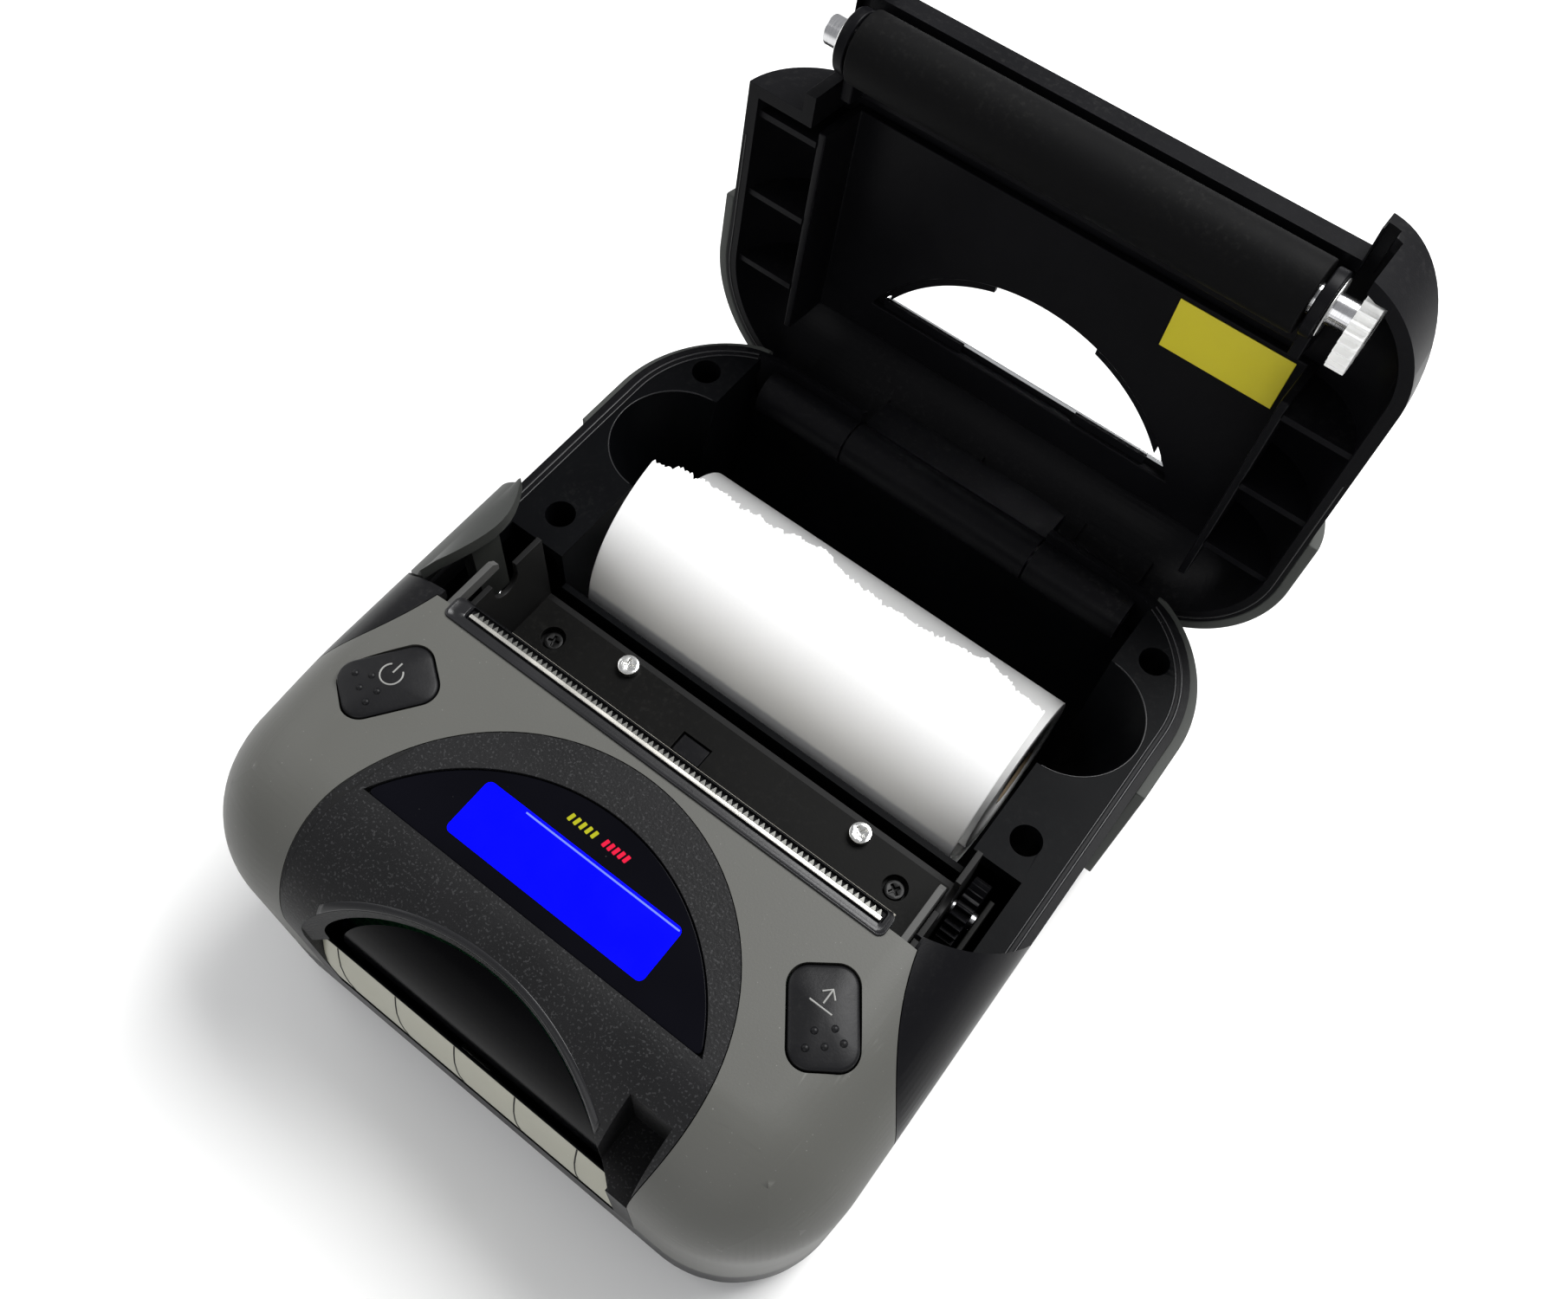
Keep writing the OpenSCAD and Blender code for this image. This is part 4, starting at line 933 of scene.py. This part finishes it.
def curve_inner_edge(mesh):
    """Draws the release button's inner edge outwards towards both of its ends."""
    y0, y1, x_mid, margin, cuts = -14.0, 8.0, -52.5, 1.5, 12
    builder = opened(mesh)
    for y in np.linspace(y0 + margin, y1 - margin, cuts):
        bmesh.ops.bisect_plane(builder, geom=[*builder.verts, *builder.edges, *builder.faces],
                               plane_co=Vector((0.0, y, 0.0)) * MM, plane_no=(0.0, 1.0, 0.0))
    for vert in builder.verts:
        x, y, z = vert.co / MM
        if x > x_mid and z > RIM_Z + 2.0:
            t = min(1.0, max(0.0, (y - y0) / (y1 - y0)))
            bow = 0.75 * (2.0 * t - 1.0) ** 2 + 0.10 * math.sin(2.0 * math.pi * t)
            vert.co.x = (x - (x - x_mid) * bow) * MM
    closed(builder, mesh)


class PRINTER_OT_display(bpy.types.Operator):
    """Makes the bezel with its raised lip, the lens, the lit screen and the indicator strokes"""
    bl_idname = "printer.display"
    bl_label = "Display"

    def execute(self, context):
        half = context.scene.printer_display.screen_width * 1000 / 2
        soft_copy("display_bezel", rolled=True)
        lens = plan_solid(half_moon(LENS_Y, LENS_EDGE_Y, MOON_R - 0.30, 1.8), 60.2, LENS_TOP, 0.25)
        even_piece("lens_window", lens, "lens_dark", "base", "lens_dark", ("display_lens",))
        screen = self.on_lens(rounded_rect(0.0, -40.0, half, 4.8, 1.0), 0.04)
        new_piece("screen_glass", screen, "lcd_blue", "base", "lcd_blue", smooth=False)
        edge = self.on_lens(rounded_rect(3.6, -35.75, half - 4.0, 0.14, 0.12), 0.06)
        new_piece("screen_edge", edge, "screen_line", "base", smooth=False)
        for name, x0, x1, finish in (("indicator_ready", -5.15, -0.75, "indicator_green"),
                                     ("indicator_fault", 1.35, 5.25, "indicator_red")):
            strokes = [self.on_lens(rounded_rect(x, -32.25, 0.31, 0.66, 0.12, 2, -14.0), 0.04)
                       for x in np.linspace(x0, x1, 5)]
            new_piece(name, joined(strokes), finish, "base", smooth=False)
        self.pocket_lip()
        self.side_painted_shade()
        return {"FINISHED"}

    def on_lens(self, outline, stand):
        """A thin flat piece let into the lens, standing a little above it."""
        return plan_solid(outline, LENS_FOOT, LENS_TOP + stand, 0.02, 1)

    def pocket_lip(self):
        """The raised lip along the pocket's arc, as lines of (how far out, how far down)."""
        lines = []
        for inset, drop in ((0.0, 0.9), (0.0, 0.02), (0.15, -0.17), (0.55, -0.22), (0.95, -0.12),
                            (1.15, 0.05), (1.15, 0.9)):
            line = []
            for x in np.linspace(-26.8, 25.2, 70):
                y = POCKET_Y + math.sqrt((POCKET_R + 0.05 + inset) ** 2 - x * x)
                line.append((x, y, brow_height(y) - drop))
            lines.append(line)
        lip = grid_mesh(lines, close_rings=False, caps=False, close_ends=True)
        builder = opened(lip)
        bmesh.ops.holes_fill(builder, edges=[e for e in builder.edges if e.is_boundary], sides=0)
        bmesh.ops.recalc_face_normals(builder, faces=builder.faces)
        even_piece("pocket_lip", closed(builder, lip), "ridge_black", "base")

    def side_painted_shade(self):
        """The dark crescent between the bezel and the cover at the left end: a thin near-black sheet of
        painted shade laid on the bezel, with no recess cut.
        """
        outer, inner = [], []
        for share in np.linspace(0.0, 1.0, 40):
            angle = math.radians(150.0 + 44.0 * share)
            width = 1.5 * math.sin(math.pi * share)
            for side, reach in ((outer, BEZEL_R - 0.35), (inner, BEZEL_R - 0.4 - width)):
                side.append((reach * math.cos(angle), BEZEL_Y + reach * math.sin(angle)))
        outline = outer + inner[::-1]
        painted_shade_sheet = grid_mesh([[(x, y, brow_height(y) + lift) for x, y in outline] for lift in (-0.2, 0.04)])
        # A thin dark sheet on the surface: painted shade.
        new_piece("sill_recess", painted_shade_sheet, "groove_dark_and_painted_shade", "base", smooth=False)


def brow_height(y):
    """Height of the front's curved top edge at y."""
    reach = BROW_R ** 2 - min(0.0, y + HALF_LEN - BROW_R) ** 2
    return HEIGHT - BROW_R + math.sqrt(max(0.0, reach))


class PRINTER_OT_keys(bpy.types.Operator):
    """Makes the two crowned keys with their domes and symbols"""
    bl_idname = "printer.keys"
    bl_label = "Keys"

    def execute(self, context):
        crown = context.scene.printer_display.key_crown * 1000
        half_x, half_y = KEY_FLAT
        # How far each ring stands out from the flat, and its height
        levels = [(0.5, 59.1), (0.5, 61.75), (0.35, 61.95), (0.0, KEY_SHOULDER_Z)]
        for node, side in (("power_button", -1), ("feed_button", 1)):
            turn = side * KEY_TURN
            rings = []
            for out, z in levels:
                outline = rounded_rect(side * KEY_X, KEY_Y, half_x + out, half_y + out, 2.5 + out, 8, turn)
                rings += stacked(outline, (z,))
            for k in range(1, 9):
                left = 1 - k / 8.5
                outline = rounded_rect(side * KEY_X, KEY_Y, half_x * left, half_y * left, 2.5 * left, 8, turn)
                rings += stacked(outline, (KEY_SHOULDER_Z + crown * (1 - left ** 2),))
            even_piece(node + "_cap", grid_mesh(rings), "key_black", BODY_OF[node], "key_black", (node,))
        self.dots(crown)
        self.symbols()
        return {"FINISHED"}

    def dots(self, crown):
        """Five small domes on each key, two over three."""
        radius, sink, rise, around = 0.62, 0.25, 0.55, 14
        for name, side, body in (("power", -1, "power_key"), ("feed", 1, "feed_key")):
            rings = []
            for k in range(5):
                angle = math.pi / 2 * k / 4.4
                reach = radius * math.cos(angle)
                rings.append([(reach * math.cos(a), reach * math.sin(a), rise * math.sin(angle) - sink)
                              for a in (2 * math.pi * i / around for i in range(around))])
            places = []
            for across, along in ((-1.3, -2.0), (1.5, -1.7), (-2.5, -4.3), (0.1, -4.1), (2.7, -3.6)):
                x, y = turned(across, along, side * KEY_TURN)
                places.append((side * KEY_X + x, KEY_Y + y, key_height(across, along, crown)))
            placed(name + "_key_dots", grid_mesh(rings), places, None, "key_black", body, smooth=True)

    def symbols(self):
        """Thin printed symbols: a ring with a bar, and an arrow leaving a line."""
        ring = [(-41.1 + 1.75 * math.cos(a), -31.9 + 1.75 * math.sin(a), 62.62)
                for a in np.linspace(math.radians(130), math.radians(410), 40)]
        bar = [(-41.1, -31.6, 62.64), (-41.1, -29.6, 62.56)]
        for name, path in (("power_ring", ring), ("power_bar", bar)):
            bead(name, path, SYMBOL_WIDTH, "mark_light", "power_key")
        for name, stroke in (("feed_line", [(-1.9, -0.9), (1.9, -0.9)]),
                             ("feed_stem", [(0.0, -0.3), (0.0, 2.0)]),
                             ("feed_head", [(-1.1, 1.0), (0.0, 2.1), (1.1, 1.0)])):
            path = [(39.9 + x, -31.4 + y, 62.60) for x, y in stroke]
            bead(name, path, SYMBOL_WIDTH, "mark_light", "feed_key")


def key_height(across, along, crown):
    """Height of a key's crowned face at a place given across and along the key."""
    share = max(0.0, min(1 - abs(across) / KEY_FLAT[0], 1 - abs(along) / KEY_FLAT[1]))
    return KEY_SHOULDER_Z + crown * (1 - (1 - share) ** 2)


class PRINTER_OT_card_reader(bpy.types.Operator):
    """Makes the card reader's grey bar, gloss block and magnetic head"""
    bl_idname = "printer.card_reader"
    bl_label = "Card reader"

    def execute(self, context):
        section = ((-65.0, SLOT_FOOT), (-64.6, SLOT_TOP), (-64.85, SLOT_TOP), *BAR_FACE, (-66.7, SLOT_FOOT))
        rings = []
        for x, share in bar_stations():
            rings.append([(x, y, SLOT_FOOT + (z - SLOT_FOOT) * share if z > 30 else z) for y, z in section])
        even_piece("card_bar", grid_mesh(rings), "slot_grey", "base", "slot_grey", ("card_slot_wall",))
        edge = [(x, -64.8, SLOT_FOOT + (SLOT_TOP + 0.02 - SLOT_FOOT) * share) for x, share in bar_stations()]
        bead("card_bar_edge", edge, 0.52, "gloss_black", "base")
        grooves = [bead_mesh([(-1.6 + i * 12.0, y + 0.07, z) for y, z in BAR_FACE], 0.34, "groove_dark_and_painted_shade")
                   for i in range(-2, 3)]
        new_piece("card_bar_grooves", joined(grooves), "groove_dark_and_painted_shade", "base", smooth=True)
        soft_copy("card_slot_block", width=0.0005, segments=3)
        soft_copy("magnetic_head")
        return {"FINISHED"}


def bar_stations():
    """Places along the card bar with the share of its height there, lower at its rounded ends."""
    r, steps = 2.4, 6
    rows = []
    for k in range(steps + 1):
        angle = math.pi / 2 * k / steps
        rows.append((-SLOT_HALF + r * (1 - math.cos(angle)),
                     1 - r / (SLOT_TOP - SLOT_FOOT) * (1 - math.sin(angle))))
    return rows + [(-x, share) for x, share in reversed(rows)]


class PRINTER_OT_bucket(bpy.types.Operator):
    """Makes the inner frame with its rim, bucket and hand scoops"""
    bl_idname = "printer.bucket"
    bl_label = "Rim and bucket"

    def execute(self, context):
        soft_copy("inner_frame", "frame_black", 0.0004, rolled=True)
        soft_copy("hinge_pin", width=0.0002)
        for name, side, start in (("left", -1, 4.0), ("right", 1, -9.5)):
            for inset, width in ((1.5, 0.45), (2.5, 0.35)):
                path = rim_path(side, inset, np.linspace(start, HALF_LEN - REAR_R, 12),
                                np.linspace(math.radians(4), math.radians(66), 20), RIM_Z)
                bead(f"rim_line_{name}_{int(inset * 10)}", path, width, "ridge_black", "base")
            scoop = [(side * (BUCKET_HALF + SCOOP_R * math.sin(a)),
                      SCOOP_Y + SCOOP_R * math.cos(a), RIM_Z - 0.05)
                     for a in np.linspace(math.radians(4), math.radians(176), 36)]
            bead(f"scoop_edge_{name}", scoop, 0.3, "ridge_black", "base")
        return {"FINISHED"}


def rim_path(side, inset, straight, angles, z):
    """A line inside the case's edge: along one side, then round its rear corner."""
    corner = REAR_R - inset
    path = [(side * (HALF_W - inset), y, z) for y in straight]
    return path + [(side * (HALF_W - REAR_R + corner * math.cos(a)),
                    HALF_LEN - REAR_R + corner * math.sin(a), z) for a in angles]


class PRINTER_OT_mechanism(bpy.types.Operator):
    """Makes the tear bar, the guide plate, the chassis, the latch, the head and the springs"""
    bl_idname = "printer.mechanism"
    bl_label = "Print mechanism"

    def execute(self, context):
        looks = context.scene.printer_mechanism
        soft_copy("latch", "latch_grey", 0.0002)
        soft_copy("print_chassis", "chassis_dark", 0.0002)
        for node in ("tear_bar_holder", "guide_plate", "thermal_head", "head_heatsink",
                     "gear_guard", "paper_sensor", "drive_motor", "idler_axles"):
            soft_copy(node, width=0.0002)
        for node in ("motor_pinion", "idler_gear_upper", "idler_gear_lower"):
            soft_copy(node, width=0.00006, segments=1)
        self.tear_bar(looks.tooth_pitch * 1000)
        spring = grow(bpy.data.meshes.new("spring"), "Wound Spring", "steel",
                      Radius=1.5 * MM, Wire=looks.spring_wire, Turns=float(looks.spring_turns),
                      Height=9.8 * MM)
        spring.transform(Matrix.Translation(Vector((-51.5, -3.0, 28.25)) * MM))
        piece = new_piece("release_coil", spring, "steel", "base", node_slot("release_spring"),
                          ("release_spring",), True)
        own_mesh(piece)
        return {"FINISHED"}

    def tear_bar(self, pitch):
        """The steel strip, its row of teeth darkened as painted shade, and the black surround with its raised
        border.
        """
        outer = rounded_rect(-0.95, -17.275, 41.95, 2.075, 1.2)
        inner = rounded_rect(-0.1, -16.5, 39.75, 1.12, 0.5)
        rings = []
        # The border's height, by the share of the way in from the surround's edge
        for share, z in ((0.0, 61.2), (0.0, 62.05), (0.04, 62.28), (0.10, 62.34), (0.18, 62.30),
                         (0.30, 62.12), (0.55, 62.06), (0.92, 62.08), (1.0, 61.95), (1.0, 61.2)):
            rings.append([(a[0] + (b[0] - a[0]) * share, a[1] + (b[1] - a[1]) * share, z)
                          for a, b in zip(outer, inner)])
        surround = grid_mesh(rings, caps=False, close_ends=True)
        even_piece("tear_bar_surround", surround, "ridge_black", "base")
        strip = plan_solid(rounded_rect(0.0, -16.85, 39.3, 0.36, 0.2), 61.3, 62.02, 0.14)
        even_piece("tear_strip", strip, "blade_steel", "base", "blade_steel", ("tear_bar",))
        foot, tip, reach = pitch * 0.46, 0.06, 0.85
        tooth = grid_mesh(stacked([(-foot, 0.0), (foot, 0.0), (tip, reach), (-tip, reach)], (-0.55, -0.12)))
        count = int(78.6 / pitch)
        places = [((i - (count - 1) / 2) * pitch, -16.52, 62.0) for i in range(count)]
        # The teeth stand for the blade steel but take its darker copy: painted shade.
        placed("tear_teeth", tooth, places, None, "teeth_steel_painted_shade", "base", "blade_steel", smooth=False)


class PRINTER_OT_screws(bpy.types.Operator):
    """Places every screw from one of its kind"""
    bl_idname = "printer.screws"
    bl_label = "Screws"

    def execute(self, context):
        for node in ("case_screws", "chassis_screws", "board_screws", "guide_plate_screws"):
            screw, places = first_island(node, 0.00012)
            turns = [(0, 0, 17.0 + 41.0 * i) for i in range(len(places))]
            finish = "screw_black" if node == "chassis_screws" else node_slot(node)
            placed(node + "_set", screw, places, turns, finish, BODY_OF[node], node_slot(node), (node,))
        return {"FINISHED"}


class PRINTER_OT_paper(bpy.types.Operator):
    """Makes the paper roll with its card core and its loose, torn outer leaf"""
    bl_idname = "printer.paper"
    bl_label = "Paper"

    def execute(self, context):
        soften = 0.15
        roll = self.wound([(PAPER_HALF, CORE_R), (PAPER_HALF, INNER_ROLL_R - soften),
                           (PAPER_HALF - soften, INNER_ROLL_R)], 96)
        # The wound roll takes the darker copy of the paper: painted shade.
        even_piece("wound_roll", roll, "paper_wound", "roll", "paper_white", ("paper_roll",))
        core = self.wound([(CORE_HALF, CORE_BORE), (CORE_HALF, CORE_R)], 48)
        even_piece("card_core", core, "core_card", "roll", "core_card", ("paper_core",))
        self.leaf(context.scene.printer_paper)
        return {"FINISHED"}

    def wound(self, profile, around):
        """A ring-shaped solid about the roll's axis, from one half of its section as (x, radius)."""
        angles = [2 * math.pi * i / around for i in range(around)]
        rings = [[(x, ROLL_Y + radius * math.cos(a), INNER_ROLL_Z + radius * math.sin(a)) for a in angles]
                 for x, radius in [(-x, r) for x, r in profile] + profile[::-1]]
        return grid_mesh(rings, caps=False, close_ends=True)

    def leaf(self, looks):
        """The loose leaf: two close sheets joined at their edges, the upper end torn."""
        radius = looks.leaf_radius * 1000
        columns, rows, thick, low_end = 330, 56, 0.1, 270.0
        sheets = []
        for depth in (0.0, thick):
            sheet = []
            for i in range(columns + 1):
                x = -PAPER_HALF + 2 * PAPER_HALF * i / columns
                tear = tear_shape(x, looks.seed) * looks.tear_depth * 1000 * 180 / math.pi / radius
                ragged = math.degrees(looks.leaf_end) + tear
                column = []
                for j in range(rows + 1):
                    t = j / rows
                    angle = math.radians(low_end - (low_end - ragged) * t)
                    swell = 0.06 * noise.noise(Vector((x * 0.05, t * 4.0, 3.0)))
                    reach = radius - 0.1 - depth + min(0.0, swell)
                    column.append((x, ROLL_Y + reach * math.cos(angle), ROLL_Z + reach * math.sin(angle)))
                sheet.append(column)
            sheets.append(sheet)
        rings = [outer + inner[::-1] for outer, inner in zip(*sheets)]
        new_piece("loose_leaf", grid_mesh(rings), "paper_white", "roll", "paper_white", smooth=True)


def tear_shape(x, seed):
    """How far the torn edge stands forward at x, from about -1 to 1."""
    slow = noise.noise(Vector((x * 0.045, seed, 0.0))) * 0.9
    fine = noise.noise(Vector((x * 0.9, seed + 4.0, 0.0))) * 0.5
    fine += noise.noise(Vector((x * 0.3, seed, 9.0))) * 0.6
    fine += noise.noise(Vector((x * 3.1, seed, 5.0))) * 0.45
    saw = abs(x % 1.0 - 0.5) * 0.6
    corner = 2.2 * math.exp(-((x + PAPER_HALF) / 5.0) ** 2)
    bump = -1.6 * math.exp(-((x + 7.0) / 5.5) ** 2) - 1.5 * math.exp(-((x - 27.0) / 6.0) ** 2)
    return slow + fine + saw + corner + bump


class PRINTER_OT_lid(bpy.types.Operator):
    """Makes the lid with its window, inner panel, label and bumpers"""
    bl_idname = "printer.lid"
    bl_label = "Lid"

    def execute(self, context):
        for node in ("lid_shell", "lid_bumper_left", "lid_bumper_right", "lid_inner_panel"):
            soft_copy(node, rolled=True)
        soft_copy("blank_label", width=0.00008)
        soft_copy("lid_window", width=0.0002)
        self.window_tabs()
        self.rear_steps()
        for name, side in (("right", 1), ("left", -1)):
            path = rim_path(side, 0.8, np.linspace(18.0, HALF_LEN - REAR_R - 0.5, 8),
                            np.linspace(0.0, math.radians(84), 24), LID_Z + 0.03)
            bead(f"lid_lip_{name}", path, 0.3, "ridge_black", "lid")
        return {"FINISHED"}

    def window_tabs(self):
        """Black strips under parts of the window's edge, which give it its stepped outline."""
        strips = []
        low, high = WINDOW_Y - 0.7, WINDOW_Y + 1.1
        for x0, x1 in ((-30.0, -12.5), (12.0, 27.0)):
            strips.append([(x0, low), (x1, low), (x1, high), (x0, high)])
        for x0, x1 in ((-29.0, -10.0), (11.0, 28.0)):
            inner, outer = ([(x, WINDOW_ARC_Y - math.sqrt(r ** 2 - x * x)) for x in np.linspace(x0, x1, 24)]
                            for r in (34.6, 36.4))
            strips.append(outer + inner[::-1])
        meshes = [grid_mesh(stacked(outline, (58.9, 59.7))) for outline in strips]
        new_piece("window_tabs", onto_lid(joined(meshes)), "case_black", "lid", smooth=False)

    def rear_steps(self):
        """Four stepped plates along the foot of the lid's rear wall."""
        inner_r = SHOULDER_R - LID_WALL
        plates = []
        for x0, x1, stand in ((-38.0, -21.3, 0.5), (-20.7, 0.7, 1.1), (1.3, 23.7, 0.5), (24.3, 38.0, 1.1)):
            wall = [(HALF_LEN - SHOULDER_R + math.sqrt(inner_r ** 2 - (z - RIM_Z) ** 2), z)
                    for z in np.linspace(RIM_Z + 1.2, RIM_Z + 7.5, 10)]
            outline = [(y - stand, z) for y, z in wall] + [(y + 0.3, z) for y, z in reversed(wall)]
            plates.append(grid_mesh([[(x, y, z) for y, z in outline] for x in (x0, x1)]))
        new_piece("lid_rear_steps", onto_lid(joined(plates)), "case_black", "lid", smooth=False)


class PRINTER_OT_platen(bpy.types.Operator):
    """Makes the platen roller, its shaft, bushes, gear and holder"""
    bl_idname = "printer.platen"
    bl_label = "Platen"

    def execute(self, context):
        for node in ("platen_holder", "platen_bushes", "platen_shaft", "platen_roller"):
            soft_copy(node, width=0.0003)
        soft_copy("platen_gear", width=0.00006, segments=1)
        return {"FINISHED"}


class PRINTER_OT_carried_parts(bpy.types.Operator):
    """Gives every part that is shown as packed its own finish"""
    bl_idname = "printer.carried_parts"
    bl_label = "Carried parts"

    def execute(self, context):
        for piece in frame["nodes"].values():
            for place in piece.material_slots:
                place.material = FINISHES[place.material.name]
        return {"FINISHED"}


SETTINGS = {"printer_casing": CasingLooks, "printer_display": DisplayLooks,
            "printer_paper": PaperLooks, "printer_mechanism": MechanismLooks}
OPERATORS = [PRINTER_OT_stage, PRINTER_OT_casing, PRINTER_OT_display, PRINTER_OT_keys,
             PRINTER_OT_card_reader, PRINTER_OT_bucket, PRINTER_OT_mechanism, PRINTER_OT_screws,
             PRINTER_OT_paper, PRINTER_OT_lid, PRINTER_OT_platen, PRINTER_OT_carried_parts]


class PRINTER_PT_looks(bpy.types.Panel):
    """Lists every step of the printer's looks"""
    bl_label = "Receipt Printer"
    bl_idname = "PRINTER_PT_looks"
    bl_space_type = "VIEW_3D"
    bl_region_type = "UI"
    bl_category = "Receipt Printer"

    def draw(self, context):
        layout = self.layout
        for group in SETTINGS:
            box = layout.box()
            settings = getattr(context.scene, group)
            for label in settings.bl_rna.properties.keys():
                if label not in ("rna_type", "name"):
                    box.prop(settings, label)
        for operator in OPERATORS:
            layout.operator(operator.bl_idname)


CLASSES = [*SETTINGS.values(), *OPERATORS, PRINTER_PT_looks]


def register():
    for kind in CLASSES:
        bpy.utils.register_class(kind)
    for name, settings in SETTINGS.items():
        setattr(bpy.types.Scene, name, PointerProperty(type=settings))


def unregister():
    for name in SETTINGS:
        delattr(bpy.types.Scene, name)
    for kind in reversed(CLASSES):
        bpy.utils.unregister_class(kind)


def main():
    register()
    make_finishes(bpy.context.scene)
    for operator in OPERATORS:
        category, name = operator.bl_idname.split(".")
        getattr(getattr(bpy.ops, category), name)()


if __name__ == "__main__":
    main()
